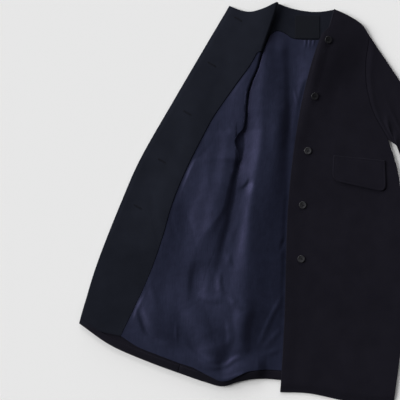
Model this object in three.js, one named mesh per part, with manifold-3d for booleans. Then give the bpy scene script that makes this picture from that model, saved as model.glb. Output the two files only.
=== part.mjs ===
// A knee-length wool coat with a cocoon cut, a round neck and no collar, lying on its back.
// The wearer's right front is turned back, so that its facing and lining show. The left front
// lies over the back with its outer side up.
//
// Millimetres. +X is the wearer's left, +Y runs towards the neck and +Z is up from the surface
// that the coat lies on. The origin is on that surface, on the centre back line.

import * as THREE from "three";
import { mergeVertices } from "three/addons/utils/BufferGeometryUtils.js";
import Module from "manifold-3d";

const wasm = await Module();
wasm.setup();

// Walls and gaps
const SHELL = 2;
const FACING = 1.8;
const LINING = 1;
const LABEL = 1;
const SEAM_GAP = 0.3;
const TURN_UP = 23;
const TURN_UP_STEP = 2.5;

// Levels in the stack of layers: what lies on the back, and the underside of the fronts over it
const ON_BACK = SHELL + SEAM_GAP;
const ON_FACING = ON_BACK + FACING + SEAM_GAP;
const OVER_BACK = 4.6;

// A sleeve pressed flat: its wall, and its height from the surface to its upper side
const SLEEVE_HEIGHT = 6.5;
const OVER_SLEEVE = SLEEVE_HEIGHT + SEAM_GAP;

// The roll where the right front turns back: underside level, and radius at the armpit and the neck
const ROLL_LEVEL = 7;
const ROLL_AT_ARMPIT = 3;
const ROLL_AT_NECK = 5;
const ROLL_REACH = 95;
const SIDE_SEAM_REACH = 30;
const CLOTH_EDGE = SHELL / 2;

// A button: the dish is its hollowed face, inside the rim
const BUTTON = {
  radius: 9.7, height: 3.4, edge: 0.6, rim: 1.9, dish: 6.6, dishDepth: 1.1, dishSlope: 1.9,
  hole: 0.95, holeOffset: 1.9,
};

// Corners where seams and edges meet, as [x, y]
const CORNER = {
  rightNeck: [-77, 544],
  leftNeck: [74, 527],
  rightShoulder: [-170, 462],
  leftShoulder: [170, 456],
  rightArmpit: [-170, 154],
  leftArmpit: [221, 176],
  rightSideHem: [-346, -452],
  leftSideHem: [236, -510],
  leftFrontSideHem: [236, -536],
  openedNeck: [-207, 537],
  openedHem: [-612, -319],
  leftFrontNeck: [40, 459],
  leftFrontHem: [-70, -505],
};

// Each edge runs between two corners through the points that its shape needs.
const EDGE = {
  backNeck: ["rightNeck", [-38, 530], [16, 521], [54, 523], "leftNeck"],
  rightShoulder: ["rightShoulder", [-119, 512], "rightNeck"],
  leftShoulder: ["leftNeck", [113, 510], [151, 485], "leftShoulder"],
  rightArmhole: ["rightArmpit", [-182, 284], [-184, 351], "rightShoulder"],
  leftArmhole: ["leftArmpit", [176, 262], [159, 360], "leftShoulder"],
  rightSide: ["rightSideHem", [-292, -248], [-221, -54], [-192, 62], "rightArmpit"],
  leftSide: ["leftSideHem", [262, -310], [262, -60], [247, 90], "leftArmpit"],
  backHem: [
    "rightSideHem", [-270, -478], [-226, -489], [-184, -477], [-138, -469], [-60, -473],
    [92, -494], "leftSideHem",
  ],
  openedHem: ["rightSideHem", [-432, -420], [-529, -377], "openedHem"],
  openedFront: ["openedHem", [-568, -170], [-492, 24], [-451, 117], [-356, 284], "openedNeck"],
  openedNeck: ["rightNeck", [-113, 528], [-151, 520], [-180, 526], "openedNeck"],
  rightFold: ["rightArmpit", [-163, 251], [-146, 343], [-112, 440], [-90, 500], "rightNeck"],
  leftHem: ["leftFrontHem", [5, -508], [103, -528], [176, -537], "leftFrontSideHem"],
  leftFrontSide: ["leftFrontSideHem", [262, -310], [262, -60], [247, 90], "leftArmpit"],
  leftFront: ["leftFrontHem", [-59, -310], [-48, 14], [-19, 243], [16, 392], "leftFrontNeck"],
  leftFrontNeck: ["leftFrontNeck", [62, 482], [73, 505], "leftNeck"],
};

// Seams inside a panel, from one side of it to the other
const NECK_FACING_SEAM = [
  [-190, 395], [-128, 412], [-108, 432], [-96, 457], [-78, 469], [-58, 463], [-38, 450], [-16, 446],
  [40, 446], [90, 468], [170, 545],
];
const FRONT_FACING_SEAM = [
  [-499, -352], [-421, -184], [-362, 0], [-324, 94], [-251, 235], [-165, 373], [-130, 418],
];
const FACING_HEM = [[-548, -341], [-612, -319]];

// A distance that lies outside the whole coat, for the blocks that cut a sheet along a seam
const BEYOND = 800;

// The big fold along the back lining, a row for each section from the neck to the hem.
// crest is the x of its top; left and right are how far its sides reach.
const BACK_FOLD = [
  { y: 470, crest: -98, height: 0, left: 20, right: 40 },
  { y: 420, crest: -103, height: 9, left: 26, right: 44 },
  { y: 256, crest: -116, height: 21, left: 44, right: 50 },
  { y: 40, crest: -140, height: 20, left: 58, right: 68 },
  { y: -148, crest: -155, height: 14, left: 88, right: 74 },
  { y: -364, crest: -164, height: 10, left: 140, right: 78 },
  { y: -450, crest: -168, height: 0, left: 150, right: 80 },
];

// Swellings of the lining: centre, half length and half width, the turn of the long axis from
// +Y towards +X in degrees, and height.
const BACK_SWELLINGS = [
  { x: -232, y: -392, long: 62, wide: 44, turn: 80, height: 9 },
];
const FRONT_SWELLINGS = [
  { x: -287, y: 30, long: 150, wide: 56, turn: 14, height: 13 },
  { x: -398, y: -300, long: 105, wide: 48, turn: -35, height: 8 },
];

// Each sleeve lies flat between its armhole and its cuff; outer and under are its two long edges.
const RIGHT_SLEEVE = {
  armhole: "rightArmhole",
  clear: -0.9,
  outer: ["rightShoulder", [-262, 275], [-342, 105], [-427, -92]],
  under: ["rightArmpit", [-226, 126], [-250, 40], [-280, -52], [-304, -148]],
};
const LEFT_SLEEVE = {
  armhole: "leftArmhole",
  clear: 0.9,
  outer: ["leftShoulder", [296, 262], [374, 96], [456, -84]],
  under: ["leftArmpit", [250, 152], [274, 66], [302, -38], [330, -150]],
};

// The left front's free corner at the neck stands clear of the back: level at first, then falling
const CORNER_RISE = { x: 26, y: 438, height: 13, level: 50, reach: 100 };

const BUTTON_CENTRES = [[57, 442], [22, 292], [4, 146], [-10, 0], [-14, -145]];
const POCKET_FLAP = {
  topLeft: [73, 134], topRight: [212, 120], bottomRight: [214, 34], bottomLeft: [69, 66],
  round: 16, thick: 2.6,
};
const LABEL_CORNERS = { left: -30, right: 36, bottom: 449, top: 511 };

const WOOL = new THREE.MeshStandardMaterial({ color: 0x1a191f, roughness: 0.95 });
const SATIN = new THREE.MeshStandardMaterial({ color: 0x2b2f40, roughness: 0.45 });
const WOVEN = new THREE.MeshStandardMaterial({ color: 0x0c0c0e, roughness: 0.8 });
const HORN = new THREE.MeshStandardMaterial({ color: 0x2f3036, roughness: 0.4 });

const { clamp, lerp, smoothstep, degToRad } = THREE.MathUtils;

const onSurface = ([x, y]) => new THREE.Vector3(x, y, 0);

// A smooth curve through a list of points; a corner may be given by its name.
function curveThrough(points) {
  const places = points.map((point) => onSurface(CORNER[point] ?? point));
  return new THREE.CatmullRomCurve3(places, false, "centripetal");
}

const edgeCurve = (name) => curveThrough(EDGE[name]);

// One edge of a panel made of several curves; each ends at its own share of the whole.
function joined(...stretches) {
  return (share) => {
    let from = 0;
    for (const { curve, to } of stretches) {
      if (share <= to || to === 1) return curve.getPointAt(clamp((share - from) / (to - from), 0, 1));
      from = to;
    }
  };
}

// A point of the panel that four edges bound; across runs from near to far and up from hem to top.
function panelPoint({ hem, top, near, far }, across, up) {
  const corners = onSurface([0, 0])
    .addScaledVector(hem(0), (1 - across) * (1 - up))
    .addScaledVector(hem(1), across * (1 - up))
    .addScaledVector(top(0), (1 - across) * up)
    .addScaledVector(top(1), across * up);
  return onSurface([0, 0])
    .addScaledVector(hem(across), 1 - up)
    .addScaledVector(top(across), up)
    .addScaledVector(near(up), 1 - across)
    .addScaledVector(far(up), across)
    .sub(corners);
}

const evenly = (from, to, steps) =>
  Array.from({ length: steps + 1 }, (_, i) => lerp(from, to, i / steps));

// Rows up a panel: close ones for the turned-up hem, then even ones to the armpit and the top.
function rowShares(sideLength, hemMarks, sideSteps, topSteps) {
  const marks = hemMarks.map((mark) => (mark / sideLength) * ARMPIT);
  const side = evenly(marks.at(-1), ARMPIT, sideSteps).slice(1);
  return [...marks, ...side, ...evenly(ARMPIT, 1, topSteps).slice(1)];
}

// Share of a panel's rows that lies below the armpit
const ARMPIT = 0.66;
const HEM_MARKS = [0, TURN_UP - TURN_UP_STEP, TURN_UP];
const TURN_UP_ROWS = 2;

const at = (point, z) => point.clone().setZ(z);

// A closed wall between two grids of points with the same rows and columns
function wallBetween(lower, upper) {
  const rows = lower.length;
  const columns = lower[0].length;
  const positions = [...lower.flat(), ...upper.flat()].flatMap((point) => point.toArray());
  const low = (i, j) => i * columns + j;
  const high = (i, j) => rows * columns + low(i, j);
  const faces = [];
  const quad = (a, b, c, d) => faces.push(a, b, c, a, c, d);
  for (let i = 0; i < rows - 1; i++) {
    for (let j = 0; j < columns - 1; j++) {
      quad(high(i, j), high(i, j + 1), high(i + 1, j + 1), high(i + 1, j));
      quad(low(i, j), low(i + 1, j), low(i + 1, j + 1), low(i, j + 1));
    }
  }
  for (let j = 0; j < columns - 1; j++) {
    quad(low(0, j), low(0, j + 1), high(0, j + 1), high(0, j));
    quad(low(rows - 1, j + 1), low(rows - 1, j), high(rows - 1, j), high(rows - 1, j + 1));
  }
  for (let i = 0; i < rows - 1; i++) {
    quad(low(i + 1, 0), low(i, 0), high(i, 0), high(i + 1, 0));
    quad(low(i, columns - 1), low(i + 1, columns - 1), high(i + 1, columns - 1), high(i, columns - 1));
  }
  const geometry = new THREE.BufferGeometry();
  geometry.setAttribute("position", new THREE.Float32BufferAttribute(positions, 3));
  geometry.setIndex(faces);
  return outward(geometry);
}

// The same solid with its faces pointing out, whichever way its grid ran
function outward(geometry) {
  if (signedVolume(geometry) < 0) {
    const index = geometry.index.array;
    for (let i = 0; i < index.length; i += 3) {
      [index[i + 1], index[i + 2]] = [index[i + 2], index[i + 1]];
    }
  }
  return geometry;
}

function signedVolume(geometry) {
  const position = geometry.getAttribute("position");
  const corner = (k) => new THREE.Vector3().fromBufferAttribute(position, geometry.index.getX(k));
  let volume = 0;
  for (let i = 0; i < geometry.index.count; i += 3) {
    volume += corner(i).dot(corner(i + 1).cross(corner(i + 2))) / 6;
  }
  return volume;
}

// Unit normals of a grid of points, on the side that is up over most of it
function gridNormals(grid) {
  const normals = grid.map((row, i) =>
    row.map((_, j) => {
      const alongRow = new THREE.Vector3().subVectors(
        row[Math.min(j + 1, row.length - 1)],
        row[Math.max(j - 1, 0)],
      );
      const upColumn = new THREE.Vector3().subVectors(
        grid[Math.min(i + 1, grid.length - 1)][j],
        grid[Math.max(i - 1, 0)][j],
      );
      return alongRow.cross(upColumn).normalize();
    }),
  );
  const facing = Math.sign(normals.flat().reduce((sum, normal) => sum + normal.z, 0));
  return normals.map((row) => row.map((normal) => normal.multiplyScalar(facing)));
}

// A grid moved out along its normals by a distance, which may vary from point to point
function movedOut(grid, normals, distance) {
  return grid.map((row, i) =>
    row.map((point, j) => point.clone().addScaledVector(normals[i][j], distance(point))),
  );
}

function solidFrom(geometry) {
  const bare = geometry.clone();
  bare.deleteAttribute("normal");
  bare.deleteAttribute("uv");
  const merged = mergeVertices(bare, 1e-3);
  return new wasm.Manifold(
    new wasm.Mesh({
      numProp: 3,
      vertProperties: merged.getAttribute("position").array,
      triVerts: new Uint32Array(merged.index.array),
    }),
  );
}

function geometryFrom(solid) {
  const mesh = solid.getMesh();
  const geometry = new THREE.BufferGeometry();
  geometry.setAttribute("position", new THREE.BufferAttribute(mesh.vertProperties.slice(), 3));
  geometry.setIndex(new THREE.BufferAttribute(mesh.triVerts.slice(), 1));
  return geometry;
}

// An upright block over a region of the surface, used to cut a sheet along a seam
function blockOver(outline) {
  const shape = new THREE.Shape(outline.map(([x, y]) => new THREE.Vector2(x, y)));
  const block = new THREE.ExtrudeGeometry(shape, { depth: 200, bevelEnabled: false, steps: 1 });
  return solidFrom(block.translate(0, 0, -50));
}

const seamPoints = (seam) => curveThrough(seam).getPoints(24).map(({ x, y }) => [x, y]);

// A seam's points moved sideways by half the gap that its two pieces keep; left is positive.
function beside(seam, distance) {
  return seam.map(([x, y], i) => {
    const [x0, y0] = seam[Math.max(i - 1, 0)];
    const [x1, y1] = seam[Math.min(i + 1, seam.length - 1)];
    const length = Math.hypot(x1 - x0, y1 - y0);
    return [x - ((y1 - y0) / length) * distance, y + ((x1 - x0) / length) * distance];
  });
}

// A soft swell across a fold: 1 at its crest and 0 where its sides end
const swell = (share) => (Math.abs(share) < 1 ? Math.cos((share * Math.PI) / 2) ** 2 : 0);

// A table's row at one y, worked out between the two rows beside it
function sectionAt(table, y) {
  const below = table.findIndex((row) => row.y <= y);
  if (below === 0) return table[0];
  if (below < 0) return table.at(-1);
  const [a, b] = [table[below - 1], table[below]];
  const share = (a.y - y) / (a.y - b.y);
  const mixed = {};
  for (const name of Object.keys(a)) mixed[name] = lerp(a[name], b[name], share);
  return mixed;
}

function foldHeight({ x, y }) {
  const fold = sectionAt(BACK_FOLD, y);
  const side = x < fold.crest ? fold.left : fold.right;
  return fold.height * swell((x - fold.crest) / side);
}

function swellingHeight({ x, y }, swellings) {
  let height = 0;
  for (const bump of swellings) {
    const turn = degToRad(bump.turn);
    const [dx, dy] = [x - bump.x, y - bump.y];
    const along = (dx * Math.sin(turn) + dy * Math.cos(turn)) / bump.long;
    const across = (dx * Math.cos(turn) - dy * Math.sin(turn)) / bump.wide;
    height += bump.height * swell(Math.hypot(along, across));
  }
  return height;
}

// The back, its lining and its neck facing share one set of edges.
const BACK_NECK_FROM = 6 / 22;
const BACK_NECK_TO = 16 / 22;
const backEdges = {
  hem: joined({ curve: edgeCurve("backHem"), to: 1 }),
  top: joined(
    { curve: edgeCurve("rightShoulder"), to: BACK_NECK_FROM },
    { curve: edgeCurve("backNeck"), to: BACK_NECK_TO },
    { curve: edgeCurve("leftShoulder"), to: 1 },
  ),
  near: joined({ curve: edgeCurve("rightSide"), to: ARMPIT }, { curve: edgeCurve("rightArmhole"), to: 1 }),
  far: joined({ curve: edgeCurve("leftSide"), to: ARMPIT }, { curve: edgeCurve("leftArmhole"), to: 1 }),
};
const rightSideLength = edgeCurve("rightSide").getLength();

function backGrid(columns, sideRows, topRows) {
  const ups = rowShares(rightSideLength, HEM_MARKS, sideRows, topRows);
  return ups.map((up) => evenly(0, 1, columns).map((across) => panelPoint(backEdges, across, up)));
}

function back() {
  const grid = backGrid(22, 15, 8);
  const lower = grid.map((row) => row.map((point) => at(point, 0)));
  const height = (i) => (i < TURN_UP_ROWS ? 2 * SHELL + SEAM_GAP : SHELL);
  const upper = grid.map((row, i) => row.map((point) => at(point, height(i))));
  return wallBetween(lower, upper);
}

// The part of the back above the neck facing's seam, drawn in from the seam by a distance
function neckRegion(distance) {
  const [[left], [right]] = [NECK_FACING_SEAM[0], NECK_FACING_SEAM.at(-1)];
  return [...beside(seamPoints(NECK_FACING_SEAM), distance), [right, BEYOND], [left, BEYOND]];
}

function backLining() {
  const lower = backGrid(22, 15, 8)
    .slice(TURN_UP_ROWS)
    .map((row) =>
      row.map((point, j) => {
        const inwards = 2 * SEAM_GAP * (1 - (2 * j) / (row.length - 1));
        const place = point.clone().add(new THREE.Vector3(inwards, 2 * SEAM_GAP, 0));
        return at(place, ON_BACK + foldHeight(place) + swellingHeight(place, BACK_SWELLINGS));
      }),
    );
  const upper = movedOut(lower, gridNormals(lower), () => LINING);
  const sheet = solidFrom(wallBetween(lower, upper));
  const trimmed = sheet.subtract(blockOver(neckRegion(-SEAM_GAP / 2)));
  return geometryFrom(trimmed);
}

function backNeckFacing() {
  const grid = backGrid(22, 15, 8);
  const lower = grid.map((row) => row.map((point) => at(point, ON_BACK)));
  const upper = grid.map((row) => row.map((point) => at(point, ON_BACK + FACING)));
  const sheet = solidFrom(wallBetween(lower, upper));
  return geometryFrom(sheet.intersect(blockOver(neckRegion(SEAM_GAP / 2))));
}

// The right front from the side seam and the fold to its front edge
const SHOULDER_ON_FOLD = 0.78;
const frontRightEdges = {
  hem: joined({ curve: edgeCurve("openedHem"), to: 1 }),
  top: joined({ curve: edgeCurve("openedNeck"), to: 1 }),
  near: joined({ curve: edgeCurve("rightSide"), to: ARMPIT }, { curve: edgeCurve("rightFold"), to: 1 }),
  far: joined({ curve: edgeCurve("openedFront"), to: 1 }),
};
const armholeAndShoulder = joined(
  { curve: edgeCurve("rightArmhole"), to: SHOULDER_ON_FOLD },
  { curve: edgeCurve("rightShoulder"), to: 1 },
);

// How far a point of the surface lies outside the right sleeve
const sleeveOutline = [
  ...curveThrough(RIGHT_SLEEVE.outer).getPoints(8),
  ...curveThrough(RIGHT_SLEEVE.under).getPoints(8).reverse(),
];

function distanceFromRightSleeve(point) {
  let nearest = Infinity;
  let inside = false;
  sleeveOutline.forEach((start, i) => {
    const end = sleeveOutline[(i + 1) % sleeveOutline.length];
    const side = new THREE.Line3(start, end);
    const closest = side.closestPointToPoint(at(point, 0), true, new THREE.Vector3());
    nearest = Math.min(nearest, closest.distanceTo(at(point, 0)));
    const spans = start.y > point.y !== end.y > point.y;
    const crossing = start.x + ((end.x - start.x) * (point.y - start.y)) / (end.y - start.y);
    if (spans && point.x < crossing) inside = !inside;
  });
  return inside ? 0 : nearest;
}

// Columns of the right front: round the roll, over the hidden cloth, and on to the free edge
const ROLL_ANGLES = [-60, -20, 20, 55, 90].map(degToRad);
const HIDDEN_COLUMNS = 3;
const FREE_COLUMNS = 11;
const HIDDEN_LEAST = 12;
const ARMHOLE_STEP = 0.6;

// The roll at one height of the panel. Below the armpit it is only the cloth's edge at the side seam.
function rollAt(up) {
  const share = (up - ARMPIT) / (1 - ARMPIT);
  if (share < -1e-6) {
    const seam = frontRightEdges.near(up);
    return { above: false, radius: CLOTH_EDGE, level: 0, gap: SEAM_GAP, fold: seam, seam };
  }
  const radius = lerp(ROLL_AT_ARMPIT, ROLL_AT_NECK, Math.min(share * 3, 1));
  const fold = frontRightEdges.near(up);
  const seam = armholeAndShoulder(Math.max(share, 0));
  return { above: true, radius, level: ROLL_LEVEL, gap: 0, fold, seam };
}

// The height of the turned-back front at a point, before its hem is turned up
function frontRightHeight(point, fromRoll, { above, radius, level }) {
  const overSleeve = 1 - smoothstep(distanceFromRightSleeve(point), 14, 52);
  const resting = SHELL + (OVER_SLEEVE + SEAM_GAP) * overSleeve;
  const rolled = 1 - smoothstep(fromRoll, 0, above ? ROLL_REACH : SIDE_SEAM_REACH);
  return resting + Math.max(level + 2 * radius - resting, 0) * rolled;
}

// One section of the right front from the roll to its front edge, as upper and lower points.
// Above the armpit the cloth beneath the roll and the cloth over it are hidden layers, and they
// are one rounded solid there.
function frontRightSection(up, onHem) {
  const roll = rollAt(up);
  const { above, radius, level, fold } = roll;
  const centre = new THREE.Vector3(fold.x - radius - roll.gap, fold.y, level + radius);
  const width = centre.x - frontRightEdges.far(up).x;
  const hidden = Math.max(centre.x - roll.seam.x, HIDDEN_LEAST);
  const upper = ROLL_ANGLES.map((angle) =>
    centre.clone().add(new THREE.Vector3(radius * Math.cos(angle), 0, radius * Math.sin(angle))),
  );
  const lower = evenly(0.3 * radius, -4, ROLL_ANGLES.length - 1).map((x) =>
    new THREE.Vector3(centre.x + x, centre.y, level),
  );
  const stops = [
    ...evenly(0, hidden - ARMHOLE_STEP, HIDDEN_COLUMNS).slice(1),
    ...evenly(hidden + ARMHOLE_STEP, width, FREE_COLUMNS),
  ];
  const turnUp = onHem ? SHELL + SEAM_GAP : 0;
  stops.forEach((stop, k) => {
    const point = panelPoint(frontRightEdges, stop / width, up);
    point.x -= (radius + roll.gap) * (1 - stop / width);
    const top = frontRightHeight(point, stop, roll);
    upper.push(at(point, top + turnUp));
    lower.push(at(point, above && k < HIDDEN_COLUMNS ? level : top - SHELL));
  });
  return { upper, lower };
}

function frontRightSections() {
  const ups = rowShares(rightSideLength, HEM_MARKS, 15, 9);
  return ups.map((up, i) => frontRightSection(up, i < TURN_UP_ROWS));
}

function frontRight() {
  const sections = frontRightSections();
  return wallBetween(sections.map(({ lower }) => lower), sections.map(({ upper }) => upper));
}

// What lies on the turned-back front is its upper points, moved out. Its seams are cut afterwards.
function onFrontRight(wall, rise, firstRow) {
  const grid = frontRightSections().map(({ upper }) => upper).slice(firstRow);
  const normals = gridNormals(grid);
  const lower = movedOut(grid, normals, (point) => SEAM_GAP + rise(point));
  const upper = movedOut(grid, normals, (point) => SEAM_GAP + rise(point) + wall);
  return solidFrom(wallBetween(lower, upper));
}

// Past its last point the facing's seam runs straight over the roll.
const pastRoll = (y) => [20, y];
const facingSeam = () => [...seamPoints(FRONT_FACING_SEAM), pastRoll(FRONT_FACING_SEAM.at(-1)[1])];

function facingRight() {
  const seam = beside(facingSeam(), SEAM_GAP / 2);
  const frontHem = CORNER.openedHem[1];
  const outside = [pastRoll(BEYOND), [-BEYOND, BEYOND], [-BEYOND, frontHem]];
  const region = [...seam, ...outside, ...FACING_HEM.toReversed()];
  return geometryFrom(onFrontRight(FACING, () => 0, 0).intersect(blockOver(region)));
}

function liningFrontRight() {
  const sideSeam = edgeCurve("rightSide").getSpacedPoints(20).map(({ x, y }) => [x - SEAM_GAP, y]);
  const seam = beside(facingSeam(), -SEAM_GAP / 2);
  const overRoll = pastRoll(CORNER.rightArmpit[1]);
  const outside = [[CORNER.rightSideHem[0], -BEYOND], [FRONT_FACING_SEAM[0][0], -BEYOND]];
  const region = [...seam, overRoll, ...sideSeam.reverse(), ...outside];
  const rise = (point) => swellingHeight(point, FRONT_SWELLINGS);
  const sheet = onFrontRight(LINING, rise, TURN_UP_ROWS);
  const clearOfBack = sheet.trimByPlane([0, 0, 1], ON_BACK - SEAM_GAP / 10);
  return geometryFrom(clearOfBack.intersect(blockOver(region)));
}

// The left front lies over the lined back, and past the back's hem its own hem reaches the surface.
const LEFT_NECK_TO = 4 / 14;
const FREE_HEM_MARKS = [0, 7, 14];
const frontLeftEdges = {
  hem: joined({ curve: edgeCurve("leftHem"), to: 1 }),
  top: joined(
    { curve: edgeCurve("leftFrontNeck"), to: LEFT_NECK_TO },
    { curve: edgeCurve("leftShoulder"), to: 1 },
  ),
  near: joined({ curve: edgeCurve("leftFront"), to: 1 }),
  far: joined({ curve: edgeCurve("leftFrontSide"), to: ARMPIT }, { curve: edgeCurve("leftArmhole"), to: 1 }),
};

function frontLeftRise({ x, y }) {
  const { height, level, reach } = CORNER_RISE;
  return height * (1 - smoothstep(Math.hypot(x - CORNER_RISE.x, y - CORNER_RISE.y), level, reach));
}

function frontLeft() {
  const sideLength = edgeCurve("leftFrontSide").getLength();
  const grid = rowShares(sideLength, FREE_HEM_MARKS, 15, 8).map((up) =>
    evenly(0, 1, 13).map((across) => panelPoint(frontLeftEdges, across, up)),
  );
  const onSurfaceRows = FREE_HEM_MARKS.length - 1;
  const level = (point, i) => (i < onSurfaceRows ? 0 : OVER_BACK + frontLeftRise(point));
  const wall = (i) => (i < onSurfaceRows ? 2 * SHELL : SHELL);
  const lower = grid.map((row, i) => row.map((point) => at(point, level(point, i))));
  const upper = lower.map((row, i) => row.map((point) => at(point, point.z + wall(i))));
  return wallBetween(lower, upper);
}

// A flat patch with rounded lower corners that lies on the left front
function pocketFlap() {
  const { topLeft, topRight, bottomRight, bottomLeft, round, thick } = POCKET_FLAP;
  const shape = new THREE.Shape();
  shape.moveTo(...topLeft);
  roundedTo(shape, topLeft, bottomLeft, bottomRight, round);
  roundedTo(shape, bottomLeft, bottomRight, topRight, round);
  shape.lineTo(...topRight);
  shape.closePath();
  const flap = new THREE.ExtrudeGeometry(shape, { depth: thick, bevelEnabled: false, curveSegments: 5 });
  return flap.translate(0, 0, OVER_BACK + SHELL + SEAM_GAP);
}

// Draws a shape's line towards a corner and round it
function roundedTo(shape, before, corner, after, radius) {
  const stepFrom = (to) => {
    const length = Math.hypot(to[0] - corner[0], to[1] - corner[1]);
    return [lerp(corner[0], to[0], radius / length), lerp(corner[1], to[1], radius / length)];
  };
  shape.lineTo(...stepFrom(before));
  shape.quadraticCurveTo(...corner, ...stepFrom(after));
}

function label() {
  const { left, right, bottom, top } = LABEL_CORNERS;
  const cloth = new THREE.BoxGeometry(right - left, top - bottom, LABEL, 1, 1, 1);
  return cloth.translate((left + right) / 2, (bottom + top) / 2, ON_FACING + LABEL / 2);
}

// A sleeve pressed flat: rings round its sections, open at the armhole and the cuff
function sleeve({ armhole, clear, outer, under }) {
  const moved = (curve) => (share) => curve.getPointAt(share).add(new THREE.Vector3(clear, 0, 0));
  const [outerEdge, underEdge] = [moved(curveThrough(outer)), moved(curveThrough(under))];
  const panel = {
    hem: (across) => moved(edgeCurve(armhole))(1 - across),
    top: (across) => outerEdge(1).lerp(underEdge(1), across),
    near: outerEdge,
    far: underEdge,
  };
  const half = SLEEVE_HEIGHT / 2;
  const roundEnd = (edge, inward, along, radius, angles) => {
    const toCentre = panelPoint(panel, inward, along).sub(edge).normalize();
    return angles.map(degToRad).map((angle) =>
      edge
        .clone()
        .addScaledVector(toCentre, half - radius * Math.cos(angle))
        .setZ(half + radius * Math.sin(angle)),
    );
  };
  const ringAt = (along, inset) => {
    const radius = half - inset;
    const flats = [0.2, 0.4, 0.6, 0.8].map((across) => panelPoint(panel, across, along));
    return [
      ...roundEnd(panel.near(along), 0.1, along, radius, [90, 40, 0, -40, -90]),
      ...flats.map((point) => at(point, inset)),
      ...roundEnd(panel.far(along), 0.9, along, radius, [-90, -40, 0, 40, 90]),
      ...flats.reverse().map((point) => at(point, SLEEVE_HEIGHT - inset)),
    ];
  };
  return tubeWall(evenly(0, 1, 9).map((along) => [ringAt(along, 0), ringAt(along, SHELL)]));
}

// A tube with open ends from pairs of outer and inner rings
function tubeWall(rings) {
  const count = rings[0][0].length;
  const last = rings.length - 1;
  const positions = rings.flat(2).flatMap((point) => point.toArray());
  const outer = (i, k) => i * 2 * count + (k % count);
  const inner = (i, k) => outer(i, k) + count;
  const faces = [];
  const quad = (a, b, c, d) => faces.push(a, b, c, a, c, d);
  for (let k = 0; k < count; k++) {
    for (let i = 0; i < last; i++) {
      quad(outer(i, k), outer(i, k + 1), outer(i + 1, k + 1), outer(i + 1, k));
      quad(inner(i, k + 1), inner(i, k), inner(i + 1, k), inner(i + 1, k + 1));
    }
    quad(outer(0, k + 1), outer(0, k), inner(0, k), inner(0, k + 1));
    quad(outer(last, k), outer(last, k + 1), inner(last, k + 1), inner(last, k));
  }
  const geometry = new THREE.BufferGeometry();
  geometry.setAttribute("position", new THREE.Float32BufferAttribute(positions, 3));
  geometry.setIndex(faces);
  return outward(geometry);
}

// A button with a raised rim, a dished face and four thread holes, standing on z = 0
function button() {
  const { radius, height, edge, rim, dish, dishDepth, dishSlope, hole, holeOffset } = BUTTON;
  const profile = [
    [0, 0], [radius - rim, 0], [radius - edge, edge], [radius, height / 2],
    [radius - edge, height - edge / 2], [radius - rim, height], [dish, height - dishDepth / 2],
    [dish - dishSlope, height - dishDepth], [0, height - dishDepth],
  ].map(([x, y]) => new THREE.Vector2(x, y));
  const disc = new THREE.LatheGeometry(profile, 20).rotateX(Math.PI / 2);
  let solid = solidFrom(disc);
  for (const [dx, dy] of [[1, 1], [1, -1], [-1, 1], [-1, -1]]) {
    const drill = new THREE.CylinderGeometry(hole, hole, 4 * height, 8).rotateX(Math.PI / 2);
    solid = solid.subtract(solidFrom(drill.translate(dx * holeOffset, dy * holeOffset, 0)));
  }
  return geometryFrom(solid);
}

const coat = new THREE.Group();

function add(name, geometry, material) {
  const mesh = new THREE.Mesh(geometry, material);
  mesh.name = name;
  coat.add(mesh);
  return mesh;
}

add("back", back(), WOOL);
add("back_lining", backLining(), SATIN);
add("back_neck_facing", backNeckFacing(), WOOL);
add("label", label(), WOVEN);
add("front_right", frontRight(), WOOL);
add("facing_right", facingRight(), WOOL);
add("lining_front_right", liningFrontRight(), SATIN);
add("front_left", frontLeft(), WOOL);
add("pocket_flap_left", pocketFlap(), WOOL);
add("sleeve_right", sleeve(RIGHT_SLEEVE), WOOL);
add("sleeve_left", sleeve(LEFT_SLEEVE), WOOL);
BUTTON_CENTRES.forEach(([x, y], i) => {
  const mesh = add(`button_${i + 1}`, button(), HORN);
  mesh.position.set(x, y, OVER_BACK + SHELL + SEAM_GAP + frontLeftRise({ x, y }));
});

export default coat;
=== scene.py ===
"""A knee-length wool coat, laid flat with its right front turned back over its sleeve.

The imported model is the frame, and each cloth piece here stands for the solid of the same name.
Sizes are millimetres, as on a maker's pattern, and turn into metres where a mesh is made.
+X is the wearer's left, +Y runs to the neck and +Z is up from the surface that the coat lies on.
"""
import math

import bpy
import numpy as np
from mathutils import Matrix, Vector


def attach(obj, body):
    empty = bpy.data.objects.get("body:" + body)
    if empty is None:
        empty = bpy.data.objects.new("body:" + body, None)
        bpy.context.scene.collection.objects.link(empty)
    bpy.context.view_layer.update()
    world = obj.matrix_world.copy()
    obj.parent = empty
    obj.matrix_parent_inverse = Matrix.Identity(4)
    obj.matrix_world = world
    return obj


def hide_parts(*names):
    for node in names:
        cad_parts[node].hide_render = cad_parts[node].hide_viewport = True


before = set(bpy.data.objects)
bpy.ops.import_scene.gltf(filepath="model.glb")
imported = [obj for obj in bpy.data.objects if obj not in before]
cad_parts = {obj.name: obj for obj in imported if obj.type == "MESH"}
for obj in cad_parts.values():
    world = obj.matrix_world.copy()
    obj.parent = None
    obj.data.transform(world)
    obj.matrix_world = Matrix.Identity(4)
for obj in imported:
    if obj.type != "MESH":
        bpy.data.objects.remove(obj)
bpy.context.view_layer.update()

MM = 0.001

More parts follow.
